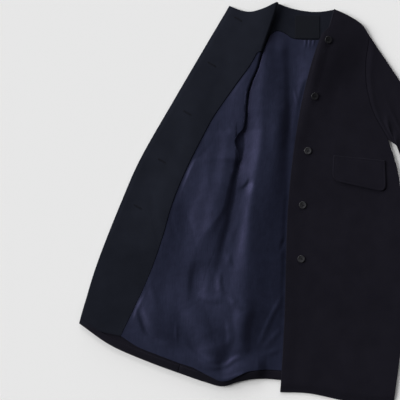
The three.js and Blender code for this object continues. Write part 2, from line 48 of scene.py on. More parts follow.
# Walls, gaps and levels, the same as in the part's source
SHELL = 2.0
FACING = 1.8
LINING = 1.0
LABEL = 0.9
SEAM_GAP = 0.3
TURN_UP = 23.0
TURN_UP_STEP = 2.5
ON_BACK = SHELL + SEAM_GAP
ON_FACING = ON_BACK + FACING + SEAM_GAP
OVER_BACK = 4.6
SLEEVE_HEIGHT = 6.5
OVER_SLEEVE = SLEEVE_HEIGHT + SEAM_GAP
ROLL_LEVEL = 7.0
ROLL_AT_ARMPIT = 3.0
ROLL_AT_NECK = 5.0
ROLL_REACH = 95.0
SIDE_SEAM_REACH = 30.0

# Shares of a panel's sides and top edge at which its corners lie
ARMPIT = 0.66
BACK_NECK_FROM = 6 / 22
BACK_NECK_TO = 16 / 22
LEFT_NECK_TO = 4 / 14

# Along Y: where the turned front's edge passes from the side seam to the rolled fold, where the
# front lining ends at that edge, and above what the hem no longer stands up
ROLL_FROM = 96
ROLL_TO = 128
TOP_OF_SEAM = 410
HEM_RISE_TOP = -230

# How far the turned front's wool takes to fall from the sleeve beneath it, and from the side seam:
# by the armhole, how much more near the hem, and the stretch of Y over which that grows
SLEEVE_EASE = 105
SEAM_FALL = 17
SEAM_FALL_MORE = 40
SEAM_FALL_GROWS = (-110, 0)

# Stretches across an edge over which the back lining gives way to the piece that lies there
UNDER_LEFT_EDGE = (-14, 0)
UNDER_ROLL = (-7, 3)
OVER_ARMHOLE = (-5, 2)

# How much thicker the left front is at its faced edge and at its hem, and how far that edge puffs
FACED_EDGE = 1.3
FACED_HEM = 1.6
EDGE_PUFF = 0.9

# Stretches inwards from an edge: over which the limp hem rises and falls again, over which the left
# front's facing and its turned-up hem end, and over which that hem leaves the surface
HEM_RISES = (-6, 22)
HEM_FALLS = (26, 80)
FACING_ENDS = (8, 42)
TURN_UP_ENDS = (30, 36)
OFF_SURFACE = (3, 26)

# Stretches along Y: over which the back lining climbs on the sleeve, and over which the big fold
# fades from the front lining; and above what the roll lies on the back lining
ONTO_SLEEVE = (112, 130)
BIG_FOLD_FADES = (90, 120)
UNDER_ROLL_ABOVE = 150

# How far the back lining and the front lining reach past the side seam's line, so that they meet
BACK_PAST_SEAM = 0.35
FRONT_PAST_SEAM = 0.4

# Gap between the back lining and the neck facing, as a share of the back's length
NECK_SEAM_SHARE = 0.0006

# Grid lines that round off an edge, as shares of its radius, those at the turn-up's step as
# lengths from the hem, and those round the roll
ROUNDING = (0.12, 0.45, 1.0)
TURN_UP_MARKS = np.array([17, 19, 20.5, 21.2, 22, 22.6, TURN_UP, 25, 28])
ROLL_ANGLES = np.radians(np.linspace(-70, 85, 11))

# The camera looks straight down at this centre, where its picture is this wide
CAMERA_CENTRE = (-286.2, 13.5)
FRAME_WIDTH = 1080
LENS = 85.0
SENSOR = 36.0

# Lights: name, where each shines from, power and spread in degrees; and the light all round
SUNS = [("window", (-0.9, 0.24, 0.41), 4.85, 42), ("far_window", (-0.1, 0.96, 0.26), 2.4, 36)]
LIGHT_ALL_ROUND = 0.165

# Corners where seams and edges meet
CORNER = {
    "rightNeck": (-77, 544),
    "leftNeck": (74, 527),
    "rightShoulder": (-170, 462),
    "leftShoulder": (170, 456),
    "rightArmpit": (-170, 154),
    "leftArmpit": (221, 176),
    "rightSideHem": (-346, -452),
    "leftSideHem": (236, -510),
    "leftFrontSideHem": (236, -536),
    "openedNeck": (-207, 537),
    "openedHem": (-612, -319),
    "leftFrontNeck": (40, 459),
    "leftFrontHem": (-70, -505),
}

# Each edge runs between two corners through the points that its shape needs
EDGE = {
    "backNeck": ["rightNeck", (-38, 530), (16, 521), (54, 523), "leftNeck"],
    "rightShoulder": ["rightShoulder", (-119, 512), "rightNeck"],
    "leftShoulder": ["leftNeck", (113, 510), (151, 485), "leftShoulder"],
    "rightArmhole": ["rightArmpit", (-182, 284), (-184, 351), "rightShoulder"],
    "leftArmhole": ["leftArmpit", (176, 262), (159, 360), "leftShoulder"],
    "rightSide": ["rightSideHem", (-292, -248), (-221, -54), (-192, 62), "rightArmpit"],
    "leftSide": ["leftSideHem", (262, -310), (262, -60), (247, 90), "leftArmpit"],
    "backHem": ["rightSideHem", (-270, -478), (-226, -489), (-184, -477), (-138, -469),
                (-60, -473), (92, -494), "leftSideHem"],
    "openedHem": ["rightSideHem", (-432, -420), (-529, -377), "openedHem"],
    "openedFront": ["openedHem", (-568, -170), (-492, 24), (-451, 117), (-356, 284), "openedNeck"],
    "openedNeck": ["rightNeck", (-113, 528), (-151, 520), (-180, 526), "openedNeck"],
    "leftHem": ["leftFrontHem", (5, -508), (103, -528), (176, -537), "leftFrontSideHem"],
    "leftFrontSide": ["leftFrontSideHem", (262, -310), (262, -60), (247, 90), "leftArmpit"],
    "leftFront": ["leftFrontHem", (-59, -310), (-48, 14), (-19, 243), (16, 392), "leftFrontNeck"],
    "leftFrontNeck": ["leftFrontNeck", (62, 482), (73, 505), "leftNeck"],
}

# Seams inside a panel
NECK_FACING_SEAM = [
    (-190, 395), (-128, 412), (-108, 432), (-96, 457), (-78, 469), (-58, 463), (-38, 450),
    (-16, 446), (40, 446), (90, 468), (170, 545),
]
FRONT_FACING_SEAM = [
    (-499, -352), (-421, -184), (-385, -80), (-362, 0), (-324, 94), (-259, 222), (-251, 236),
    (-188, 326), (-152, 375), (-132, 410),
]
FACING_HEM = [(-499, -352), (-548, -341), (-612, -319)]

# The big fold along the back lining, a row for each section from the neck to the hem: where its
# crest is, how high it stands, how far its two sides reach, and how straight its right side falls
BACK_FOLD = [
    (470, -100, 0, 44, 50, 1.0),
    (425, -106, 9, 44, 70, 1.0),
    (364, -114, 13, 76, 88, 1.0),
    (310, -119, 17, 76, 90, 0.9),
    (256, -116, 19, 84, 86, 0.2),
    (202, -113, 17, 64, 78, 0.0),
    (148, -120, 17, 62, 78, 0.0),
    (94, -132, 19.5, 70, 88, 0.15),
    (40, -141, 23, 70, 98, 0.5),
    (-14, -150, 25.3, 70, 110, 0.8),
    (-68, -153, 25.5, 78, 112, 1.0),
    (-122, -157, 25.5, 90, 120, 1.0),
    (-180, -160, 25, 110, 122, 1.0),
    (-230, -165, 23, 118, 122, 1.0),
    (-284, -163, 20, 108, 120, 1.0),
    (-330, -172, 16, 84, 118, 1.0),
    (-390, -177, 10, 60, 116, 1.0),
    (-440, -180, 4, 50, 106, 1.0),
]

# Finer folds of the back lining: marks along the fold, height at each mark, and the reach of its
# left and right sides as seen on a fold that runs down to the hem, all along it or at each mark
BACK_LINING_FOLDS = [
    # Faint second ridge, from the neck facing down beside the big fold
    ([(-68, 454), (-68, 418), (-70, 376)], [0, 2.5, 0], 20, 22),
    # Narrow valley at the foot of the big fold
    ([(-46, 430), (-41, 370), (-40, 300), (-44, 256), (-48, 202), (-52, 130)],
     [0, -3.2, -4, -3.8, -3, 0], [22, 24, 24, 21, 20, 21], [12, 12, 12, 12, 14, 22]),
    # Fuller part of its right side
    ([(-84, 270), (-81, 202), (-84, 140)], [0, 3, 0], 36, 32),
    # Rise towards the left front's edge
    ([(26, 448), (22, 370), (2, 284), (-16, 216), (-26, 148), (-34, 60), (-42, -40)],
     [3, 9, 8, 4, 1.5, 0.5, 0], [60, 56, 42, 32, 26, 24, 22], 30),
    # Small pleats that ease the lining into the neck facing
    ([(0, 447), (-1, 437), (-3, 420)], [2, 1.6, 0], 6, 2),
    ([(11, 447), (10, 437), (8, 420)], [2, 1.6, 0], 6, 2),
    ([(22, 447), (21, 438), (18, 424)], [2, 1.5, 0], 6, 2),
    # Wrinkles beside the big fold
    ([(-40, 345), (-32, 305), (-19, 262)], [0, 1.4, 0], 8, 6),
    ([(-51, -80), (-62, -100), (-70, -130)], [0, -4, 0], 8, 8),
    # Wrinkles that run from the left front's edge down to the big fold
    ([(-62, -236), (-80, -270), (-98, -304), (-118, -350), (-134, -392)], [0, 2.2, 2.2, 1.6, 0], 8, 14),
    ([(-54, -320), (-84, -350), (-122, -392)], [0, 2, 0], 10, 16),
    ([(-52, -380), (-90, -396), (-130, -404)], [0, 1.4, 0], 10, 12),
    # Left slope of the big fold: creases beside the side seam
    ([(-180, -10), (-186, -49), (-200, -89), (-202, -116)], [0, 0.5, 0.5, 0], 14, 9),
    ([(-209, -128), (-206, -146), (-201, -166)], [0, 2.2, 0], 18, 6),
    # The short hook of a tuck below the armhole
    ([(-154, 70), (-159, 57), (-170, 46), (-184, 46)], [0, -3.2, -3, 0], 6, [14, 22, 28, 22]),
]

# Folds that cross the side seam, on both linings
SHARED_FOLDS = [
    # From the armhole along the side seam, then round the lower end of the wide swelling
    ([(-192, 166), (-196, 108), (-206, 68), (-211, 38), (-219, -3), (-228, -46), (-240, -89),
      (-253, -132), (-268, -170), (-276, -206), (-274, -236)],
     [5, 11.5, 12.5, 12, 10, 9, 7, 5, 4, 2.5, 0],
     [60, 108, 128, 134, 130, 100, 70, 44, 32, 28, 26],
     [14, 16, 19, 22, 22, 23, 24, 28, 38, 40, 30], True),
    # Its steeper crest below the armhole
    ([(-211, 38), (-219, -3), (-228, -46), (-240, -89), (-253, -132), (-268, -170), (-276, -206)],
     [0, 2, 3, 3, 3, 1.5, 0], 58, [22, 22, 23, 24, 30, 38, 40]),
    # The lift of the side seam, where the cloth beneath is bunched
    ([(-194, 100), (-205, 50), (-220, -20), (-234, -80), (-250, -140), (-262, -200), (-276, -262)],
     [0, 8, 10, 10, 8, 5, 0], 125, 60),
    # The spindle on the big fold's left side, and the bend below it
    ([(-232, -176), (-232, -196), (-230, -222), (-222, -246)], [0, 2.2, 2.2, 0], 18, 7),
    ([(-288, -232), (-272, -250), (-246, -256), (-222, -250)], [0, 2, 2, 0], 14, 20),
    # A narrow trough left of that bend, and a short ridge that leaves it on the right
    ([(-299, -150), (-302, -186), (-305, -226), (-306, -270)], [0, -2.5, -3, 0], 18, 42),
    ([(-212, -238), (-196, -260), (-174, -284)], [0, 3, 0], 12, 16),
    # The ridge towards the hem that ends the big fold's steep side, and a short one beside it
    ([(-164, -222), (-160, -256), (-162, -286), (-171, -322), (-173, -352), (-172, -388),
      (-182, -426)], [0, 2.5, 5, 5.5, 5, 4, 0], 40, 28),
    ([(-213, -302), (-209, -330), (-207, -356), (-211, -382)], [0, 2.6, 2.6, 0], 11, 18),
    # The broad ridge that slants down from the left, and the low one round its foot
    ([(-313, -276), (-294, -310), (-271, -346), (-255, -384), (-249, -418), (-250, -444)],
     [0, 5, 10, 11.5, 8.5, 0], [36, 46, 52, 52, 44, 30], [30, 44, 58, 62, 44, 20]),
    ([(-344, -352), (-318, -384), (-284, -416), (-252, -437), (-220, -432), (-192, -414),
      (-168, -406)], [0, 1.5, 2.5, 2.8, 2.6, 2, 0], 10, 10),
]

# Folds of the turned-back lining
FRONT_LINING_FOLDS = [
    # A dip in the wide swelling, the crease at its lower end, and a small dip below the roll
    ([(-236, 156), (-242, 116), (-246, 66), (-252, 20)], [0, -1.8, -1.6, 0], 26, 26),
    ([(-368, -20), (-359, -59), (-346, -94)], [0, -3, 0], 9, 9),
    ([(-224, 220), (-216, 204), (-204, 194)], [0, -2, 0], 12, 12),
    # The lean of its top up to the rolled edge
    ([(-146, 355), (-165, 300), (-170, 240), (-178, 200)], [0, 2.5, 2.8, 0], 52, 9),
    # The pull at the bend of the facing's seam
    ([(-244, 246), (-252, 234), (-266, 218)], [0, -3.5, 0], 9, 7),
    # The curved fold above the hem, and small puckers beside it
    ([(-455, -270), (-444, -310), (-430, -343), (-408, -361), (-376, -374)],
     [0, -3.5, -4, -3, 0], 9, 16),
    ([(-442, -240), (-428, -296), (-408, -334), (-374, -362)], [0, 1.2, 1.2, 0], 16, 26),
    ([(-430, -190), (-414, -236), (-398, -280)], [0, 1.5, 0], 16, 14),
    ([(-348, -308), (-350, -344), (-346, -384)], [0, 1.2, 0], 8, 7),
    ([(-374, -384), (-362, -394), (-352, -398)], [0, 1.2, 0], 6, 6),
    ([(-482, -330), (-460, -342), (-436, -352)], [0, 1, 0], 8, 7),
]

# Swellings: centre, half length, half width, turn of the long axis from +Y towards +X, height
FRONT_SWELLINGS = [(-408, -312, 115, 72, -35, 8)]
SHARED_SWELLINGS = [
    (-272, 56, 165, 90, 14, 4.5),
    (-240, -396, 66, 50, 80, 4),
    (-268, -290, 130, 190, 0, 12),
]

# Lift of the seam between the facing and the lining, by the swelling beside it
SEAM_LIFT = ([(-251, 236), (-324, 94), (-362, 0), (-385, -80), (-421, -184)], [0, 5, 5, 4, 0], 60, 60)

# How far the facing's free side stands off the wool
FACING_LIFT = 1.3

# A roll along the left front's edge
EDGE_ROLL = ([(54, 470), (45, 450), (31, 400), (12, 330), (-8, 250), (-24, 150), (-34, 20)],
             [0, 2.2, 2.2, 1.0, 0.5, 0.4, 0], 12, 26)

# How far the limp hem stands off the surface: x, and the height there
HEM_RISE = ([-612, -560, -470, -400, -346, -290, -226, -170, -130, -108],
            [9, 10, 9, 10, 11, 12, 11, 13, 12, 0])

# How far the lining hangs over the hem's turn-up: x, and the length there
LINING_DROP = ([-346, -312, -288, -262, -238, -205, -186, -166], [-4, -4, 0, 5, 9, 9, 5, 0])

# A shallow dip along the facing
FACING_FOLDS = [
    ([(-434, 84), (-424, 40), (-417, 0), (-402, -70), (-392, -120)], [0, -1.5, -2, -1.5, 0], 12, 16),
]

# Creases across a flat sleeve: start and end as shares across and along it, height, half width
SLEEVE_CREASES = [
    ((0.98, 0.06), (0.45, 0.2), 3.5, 0.05),
    ((1.0, 0.14), (0.4, 0.34), 3.0, 0.05),
    ((0.0, 0.42), (0.7, 0.52), 2.6, 0.045),
    ((0.1, 0.52), (0.95, 0.6), 2.8, 0.045),
    ((0.0, 0.64), (0.6, 0.7), 2.2, 0.04),
    ((0.35, 0.12), (0.5, 0.5), 2.2, 0.06),
    ((0.6, 0.68), (0.7, 0.98), 2.0, 0.06),
]

# The left front's free corner at the neck: centre, level part, where its fall ends, and height;
# and the rise along its edge below that corner
CORNER_RISE = (26, 438, 34, 150, 13)
EDGE_RISE = ([(40, 450), (34, 380), (14, 290), (-4, 216), (-14, 148)], [4, 5, 4, 2, 0], 34, 70)

SLEEVES = {
    "sleeve_right": {
        "armhole": "rightArmhole", "clear": -0.9,
        "outer": ["rightShoulder", (-262, 275), (-342, 105), (-427, -92)],
        "under": ["rightArmpit", (-226, 126), (-250, 40), (-280, -52), (-304, -148)],
    },
    "sleeve_left": {
        "armhole": "leftArmhole", "clear": 0.9,
        "outer": ["leftShoulder", (296, 262), (374, 96), (456, -84)],
        "under": ["leftArmpit", (250, 152), (274, 66), (302, -38), (330, -150)],
    },
}

POCKET_FLAP = {
    "corners": [(73, 134), (212, 120), (214, 34), (69, 66)],
    "round": 24, "thick": 2.6, "bowed": 1.2,
    "stitch_inset": 6, "stitch_width": 0.8, "stitch_depth": 0.5,
}
LABEL_CORNERS = (-30, 449, 36, 511)

# Buttons: centres, lean in degrees to the right and towards the neck, and how much further each is
# turned than the one before
BUTTON_CENTRES = [(57, 442), (22, 292), (4, 146), (-10, 0), (-14, -145)]
BUTTON_LEAN = [(16, -7), (14, -6), (2, 1), (1, 0), (2, 1)]
BUTTON_TURN = 7
BUTTON_RADIUS = 9.7
BUTTON_HEIGHT = 3.4
BUTTON_EDGE = 0.7
# Rings of a button's face from its rim inwards: the width of each, and how far it rises
BUTTON_RINGS = [(2.3, 0), (1.1, -0.75), (1.8, -0.35), (1.5, 0)]
# How far a button stands off on its thread, its four holes, and the thread across them
SHANK = 0.9
HOLE_OFFSET = 1.9
HOLE_RADIUS = 0.95
THREAD_RADIUS = 0.42
THREAD_REACH = 2.7
THREAD_LEVEL = BUTTON_HEIGHT - 1.1

# Buttonholes: centres, turn in degrees, length, and the ring of thread round each
BUTTONHOLES = [(-184, 500), (-254, 378), (-321, 248), (-389, 119), (-454, -5)]
BUTTONHOLE_TURN = 30
BUTTONHOLE_LENGTH = 24
BUTTONHOLE_ROUND = 1.35
BUTTONHOLE_EDGE = 0.8
BUTTONHOLE_SUNK = 0.25


# Curves and panels

def curve_through(marks, steps=40):
    """Close points on a smooth curve through some marks; a corner may be given by its name"""
    places = np.array([CORNER[m] if isinstance(m, str) else m for m in marks], float)
    if len(places) == 2:
        return places
    ends = [2 * places[0] - places[1], *places, 2 * places[-1] - places[-2]]
    share = np.linspace(0, 1, steps, endpoint=False)[:, None]
    parts = []
    for a, b, c, d in zip(ends, ends[1:], ends[2:], ends[3:]):
        ab, bc, cd = (math.sqrt(np.linalg.norm(q - p)) for p, q in ((a, b), (b, c), (c, d)))
        start = ((b - a) / ab - (c - a) / (ab + bc) + (c - b) / bc) * bc
        end = ((c - b) / bc - (d - b) / (bc + cd) + (d - c) / cd) * bc
        cubic = 2 * b - 2 * c + start + end
        square = -3 * b + 3 * c - 2 * start - end
        parts.append(b + start * share + square * share ** 2 + cubic * share ** 3)
    return np.concatenate([*parts, places[-1:]])


def reach_along(curve):
    """Distance along a curve from its start to each of its points"""
    steps = np.linalg.norm(np.diff(curve, axis=0), axis=1)
    return np.concatenate([[0], np.cumsum(steps)])


def point_along(curve, shares):
    """Points at some shares of a curve's length"""
    reach = reach_along(curve)
    return np.stack([np.interp(shares * reach[-1], reach, side) for side in curve.T], axis=-1)


def edge_of(*parts):
    """One edge of a panel: its curves in turn, and after each but the last, where it ends as a
    share of the whole"""
    def at(shares):
        shares = np.clip(np.asarray(shares, float), 0, 1)
        points = np.zeros(shares.shape + (2,))
        start = 0
        for curve, to in zip(parts[::2], [*parts[1::2], 1]):
            chosen = shares >= start
            points[chosen] = point_along(curve, np.clip((shares[chosen] - start) / (to - start), 0, 1))
            start = to
        return points
    return at


def edge(name, steps=40):
    return curve_through(EDGE[name], steps)


def x_on(line, y):
    """The x of a line that runs up the sheet, at each y"""
    return np.interp(y, line[:, 1], line[:, 0])


def four_edges(*curves):
    """The edges of a panel that each are one curve: hem, top, near and far"""
    return tuple(edge_of(curve) for curve in curves)


def panel_points(edges, across, up):
    """Points of the panel that four edges bound: hem, top, near and far"""
    hem, top, near, far = edges
    a, u = across[..., None], up[..., None]
    zero, one = np.zeros(1), np.ones(1)
    corners = (1 - a) * (1 - u) * hem(zero) + a * (1 - u) * hem(one)
    corners = corners + (1 - a) * u * top(zero) + a * u * top(one)
    return (1 - u) * hem(across) + u * top(across) + (1 - a) * near(up) + a * far(up) - corners


def shares(count, length, radius=SHELL / 2, extra=()):
    """Shares from 0 to 1 in even steps, with close ones at both ends for a rounded edge"""
    close = np.array(ROUNDING) * radius / length
    inner = np.linspace(close[-1], 1 - close[-1], count + 1)
    return np.unique(np.concatenate([[0, 1], close, inner, 1 - close, extra]))


# Folds

def swell(share):
    """A soft swell across a fold: 1 at its crest and 0 where its sides end"""
    return np.where(np.abs(share) < 1, np.cos(np.clip(share, -1, 1) * math.pi / 2) ** 2, 0)


def smooth_step(value, low, high):
    share = np.clip((value - low) / (high - low), 0, 1)
    return share * share * (3 - 2 * share)


def fold_height(x, y, marks, heights, left, right, even_left=False):
    """Height of one fold of cloth: full along its marks, falling to nothing at its sides"""
    line = curve_through(marks, 10)
    reach = reach_along(line)
    at_mark = reach[::10] if len(marks) > 2 else reach
    left, right = (np.broadcast_to(np.asarray(side, float), len(marks)) for side in (left, right))
    widest = max(left.max(), right.max())
    low, high = line.min(0) - widest, line.max(0) + widest
    near = (x > low[0]) & (x < high[0]) & (y > low[1]) & (y < high[1])
    result = np.zeros(x.shape)
    if not near.any():
        return result
    px, py = x[near][:, None], y[near][:, None]
    start, step = line[:-1], np.diff(line, axis=0)
    length = np.linalg.norm(step, axis=1)
    dx, dy = px - start[:, 0], py - start[:, 1]
    share = np.clip((dx * step[:, 0] + dy * step[:, 1]) / length ** 2, 0, 1)
    away = np.hypot(dx - share * step[:, 0], dy - share * step[:, 1])
    best = away.argmin(axis=1)
    rows = np.arange(len(best))
    along = reach[best] + share[rows, best] * length[best]
    cross = step[best, 0] * dy[rows, best] - step[best, 1] * dx[rows, best]
    side = np.where(cross < 0, np.interp(along, at_mark, left), np.interp(along, at_mark, right))
    share = away[rows, best] / side
    shape = np.where((cross < 0) & even_left, even_fall(np.minimum(share, 1)), swell(share))
    result[near] = np.interp(along, at_mark, heights) * shape
    return result


def with_folds(height, x, y, folds):
    """A height with every fold of a table on it"""
    for fold in folds:
        height = height + fold_height(x, y, *fold)
    return height


def swelling_height(x, y, swellings):
    total = np.zeros(x.shape)
    for cx, cy, long, wide, turn, height in swellings:
        angle = math.radians(turn)
        along = ((x - cx) * math.sin(angle) + (y - cy) * math.cos(angle)) / long
        across = ((x - cx) * math.cos(angle) - (y - cy) * math.sin(angle)) / wide
        total += height * swell(np.hypot(along, across))
    return total


def even_fall(share):
    """A fold's side that falls evenly from its rounded crest at 0 to its foot at 1"""
    crest, whole, foot = 0.1225, 0.885, 1.06
    fallen = np.clip((np.sqrt(share ** 2 + 0.015) - crest) / whole, 0, 1)
    return foot * (1 - fallen) ** 2 / (foot - fallen)


def big_fold_height(x, y):
    """The big fold along the back lining"""
    table = np.array(BACK_FOLD, float)[::-1]
    crest, height, left, right, straight = (np.interp(y, table[:, 0], table[:, k]) for k in range(1, 6))
    on_right = np.clip((x - crest) / right, 0, 1)
    right_side = straight * even_fall(on_right) + (1 - straight) * swell(on_right ** 2.2)
    return height * np.where(x < crest, even_fall(np.clip((crest - x) / left, 0, 1)), right_side)


def waves(x, y, seed, height, length):
    """Slight unevenness of cloth that lies loose, twice as long along Y as across it"""
    chance = np.random.default_rng(seed)
    total = np.zeros(x.shape)
    for _ in range(7):
        turn = chance.uniform(-0.5, 0.5)
        pitch = length * chance.uniform(0.6, 1.6)
        start = chance.uniform(0, 2 * math.pi)
        along = x * math.cos(turn) + y * math.sin(turn) / 2
        total += np.sin(2 * math.pi * along / pitch + start + 0.7 * np.sin(y / length + start))
    return height * total / 3


def soft_floor(height, least=0.0, softness=2.0):
    """The height kept over a least one, without a corner where the two meet"""
    over = height - least
    return least + 0.5 * (over + np.sqrt(over * over + softness * softness)) - 0.25 * softness


def line_distance(x, y, line):
    """Distance of points from a line of close marks"""
    nearest = np.full(x.shape, np.inf)
    for (x0, y0), (x1, y1) in zip(line, line[1:]):
        length = max((x1 - x0) ** 2 + (y1 - y0) ** 2, 1e-9)
        share = np.clip(((x - x0) * (x1 - x0) + (y - y0) * (y1 - y0)) / length, 0, 1)
        away = np.hypot(x - x0 - share * (x1 - x0), y - y0 - share * (y1 - y0))
        nearest = np.minimum(nearest, away)
    return nearest


def outline_distance(x, y, outline):
    """How far points lie outside a closed outline"""
    closed = np.concatenate([outline, outline[:1]])
    inside = np.zeros(x.shape, bool)
    for (x0, y0), (x1, y1) in zip(closed, closed[1:]):
        if y1 != y0:
            inside ^= ((y0 > y) != (y1 > y)) & (x < x0 + (x1 - x0) * (y - y0) / (y1 - y0))
    return np.where(inside, 0, line_distance(x, y, closed))


# Cloth meshes

def grid_normals(grid):
    """Unit normals of a grid of points, on the side that is up over most of it"""
    normals = np.cross(np.gradient(grid, axis=1), np.gradient(grid, axis=0))
    normals /= np.linalg.norm(normals, axis=2, keepdims=True) + 1e-12
    return normals * (1 if normals[..., 2].sum() > 0 else -1)


def edge_distance(grid):
    """Distance of each grid point from the nearest of the grid's four sides, along its lines"""
    across = np.linalg.norm(np.diff(grid, axis=1), axis=2)
    along = np.linalg.norm(np.diff(grid, axis=0), axis=2)
    from_near = np.pad(np.cumsum(across, axis=1), ((0, 0), (1, 0)))
    from_hem = np.pad(np.cumsum(along, axis=0), ((1, 0), (0, 0)))
    to_far = from_near[:, -1:] - from_near
    to_top = from_hem[-1:] - from_hem
    return np.minimum(np.minimum(from_near, to_far), np.minimum(from_hem, to_top))


def cloth_uv(grid):
    """Flat coordinates in millimetres that follow the cloth round its folds and rolls"""
    across = np.linalg.norm(np.diff(grid, axis=1), axis=2) * np.sign(np.diff(grid[..., 0], axis=1) + 1e-9)
    u = grid[:, -1:, 0] - np.flip(np.pad(np.cumsum(np.flip(across, 1), axis=1), ((0, 0), (1, 0))), 1)
    return np.stack([u, grid[..., 1]], axis=-1)


def add_object(name, data):
    made = bpy.data.objects.new(name, data)
    bpy.context.scene.collection.objects.link(made)
    return made


def make_object(name, points, faces, uv, material):
    """A finished piece from points in millimetres, its faces, and its cloth coordinates"""
    mesh = bpy.data.meshes.new(name)
    mesh.from_pydata((np.asarray(points) * MM).tolist(), [], [list(f) for f in faces])
    layer = mesh.uv_layers.new(name="Cloth")
    corners = np.zeros(len(mesh.loops), int)
    mesh.loops.foreach_get("vertex_index", corners)
    layer.data.foreach_set("uv", (np.asarray(uv) * MM)[corners].ravel())
    mesh.materials.append(material)
    mesh.shade_smooth()
    mesh.update()
    return add_object(name, mesh)


def signed_volume(points, quads):
    a, b, c, d = (points[quads[:, k]] for k in range(4))
    return (np.einsum("ij,ij->", a, np.cross(b, c)) + np.einsum("ij,ij->", a, np.cross(c, d))) / 6


def wall_between(lower, upper):
    """Points and faces of a closed wall between two grids whose four sides are the same points"""
    rows, columns = upper.shape[:2]
    top = np.arange(rows * columns).reshape(rows, columns)
    inside = np.zeros((rows, columns), bool)
    inside[1:-1, 1:-1] = True
    bottom = top.copy()
    bottom[inside] = rows * columns + np.arange(inside.sum())
    quads = []
    for index, turn in ((top, 1), (bottom, -1)):
        corners = [index[:-1, :-1], index[:-1, 1:], index[1:, 1:], index[1:, :-1]]
        quads.append(np.stack(corners[::turn], axis=-1).reshape(-1, 4))
    quads = np.concatenate(quads)
    points = np.concatenate([upper.reshape(-1, 3), lower[inside]])
    if signed_volume(points, quads) < 0:
        quads = quads[:, ::-1]
    return points, quads, inside


def rounded_sheet(name, middle, wall, material, up=None, rounding=None):
    """A sheet of cloth whose wall is rounded off along its four edges; wall may vary over it"""
    normals = grid_normals(middle) if up is None else up
    half = np.broadcast_to(np.asarray(wall, float) / 2, middle.shape[:2])
    inwards = np.clip(edge_distance(middle) / (half if rounding is None else rounding), 0, 1)
    half = (half * np.sqrt(1 - (1 - inwards) ** 2))[..., None]
    upper = middle + normals * half
    lower = middle - normals * half
    points, quads, inside = wall_between(lower, upper)
    flat = cloth_uv(middle)
    flat = np.concatenate([flat.reshape(-1, 2), flat[inside]])
    return make_object(name, points, quads, flat, material)


def at_height(plane, z):
    """Points of the surface at their heights"""
    return np.concatenate([plane, np.broadcast_to(z, plane.shape[:2])[..., None]], axis=-1)


# Shading

class Wire:
    """A socket of a shader, with the sums and products that are written on it"""

    def __init__(self, shade, socket):
        self.shade = shade
        self.socket = socket

    def __add__(self, other):
        return self.shade.node("Math", {"operation": "ADD"}, {0: self, 1: other})

    def __mul__(self, other):
        return self.shade.node("Math", {"operation": "MULTIPLY"}, {0: self, 1: other})


class Shade:
    """The shader of one material"""

    def __init__(self, name):
        self.material = bpy.data.materials.new(name)
        self.material.use_nodes = True
        self.tree = self.material.node_tree
        self.tree.nodes.clear()

    def node(self, kind, settings=None, inputs=None, output=0):
        """Adds a node: its settings first, then a value or a wire for each socket"""
        made = self.tree.nodes.new("ShaderNode" + kind)
        for key, value in (settings or {}).items():
            setattr(made, key, value)
        for key, value in (inputs or {}).items():
            if isinstance(value, Wire):
                self.tree.links.new(value.socket, made.inputs[key])
            else:
                made.inputs[key].default_value = value
        return Wire(self, made.outputs[output]) if made.outputs else None

    def cloth_place(self, scale=(1, 1, 1), turn=0.0):
        """Place on the flat cloth in metres, stretched and turned for a pattern"""
        uv = self.node("UVMap", {"uv_map": "Cloth"})
        return self.node("Mapping", inputs={"Vector": uv, "Scale": scale, "Rotation": (0, 0, turn)})

    def own_place(self):
        """Place on the piece itself in metres"""
        return self.node("TexCoord", output=3)

    def noise(self, place, scale, detail=2.0, roughness=0.5):
        return self.node("TexNoise", inputs={
            "Vector": place, "Scale": scale, "Detail": detail, "Roughness": roughness})

    def between(self, share, first, second):
        """A colour between two, by a share from 0 to 1"""
        first, second = (c if isinstance(c, Wire) else (*c, 1) for c in (first, second))
        return self.node("Mix", {"data_type": "RGBA"}, {0: share, 6: first, 7: second}, 2)

    def remap(self, value, low, high, to_low=0.0, to_high=1.0):
        return self.node("MapRange", inputs={0: value, 1: low, 2: high, 3: to_low, 4: to_high})

    def bump(self, height, distance, strength=1.0, under=None):
        inputs = {"Height": height, "Distance": distance, "Strength": strength}
        if under is not None:
            inputs["Normal"] = under
        return self.node("Bump", inputs=inputs)

    def finish(self, inputs):
        surface = self.node("BsdfPrincipled", inputs=inputs)
        self.node("OutputMaterial", inputs={"Surface": surface})
        return self.material


def wool(name, dark, light):
    """Brushed wool: a short nap of crossed fibres over a close twill"""
    shade = Shade(name)
    cloth = shade.cloth_place()
    nap = shade.noise(shade.cloth_place((1, 0.35, 1), 0.3), 900, 3, 0.65)
    fuzz = shade.noise(shade.cloth_place((0.4, 1, 1), -0.4), 2600, 2, 0.6)
    clouds = shade.noise(cloth, 26, 3, 0.55)
    broad = shade.noise(cloth, 6, 2, 0.5)
    twill = shade.node("TexWave", {"bands_direction": "DIAGONAL"}, {
        "Vector": cloth, "Scale": 260, "Distortion": 2.0, "Detail": 2, "Detail Scale": 3}, 1)
    tone = shade.remap(nap * 0.5 + fuzz * 0.25 + clouds * 0.35 + broad * 0.3, 0.48, 0.92)
    fleck = shade.remap(fuzz, 0.66, 0.78)
    colour = shade.between(tone, dark, light)
    colour = shade.between(fleck * 0.35, colour, tuple(1.9 * c for c in light))
    relief = nap * 0.6 + fuzz * 0.3 + twill * 0.12
    return shade.finish({
        "Base Color": colour, "Roughness": shade.remap(nap, 0.3, 0.7, 0.86, 0.98),
        "Normal": shade.bump(relief, 0.0007, 0.7),
        "Specular IOR Level": 0.04, "Sheen Weight": 0.03, "Sheen Roughness": 0.5,
        "Sheen Tint": (0.62, 0.68, 0.8, 1),
    })


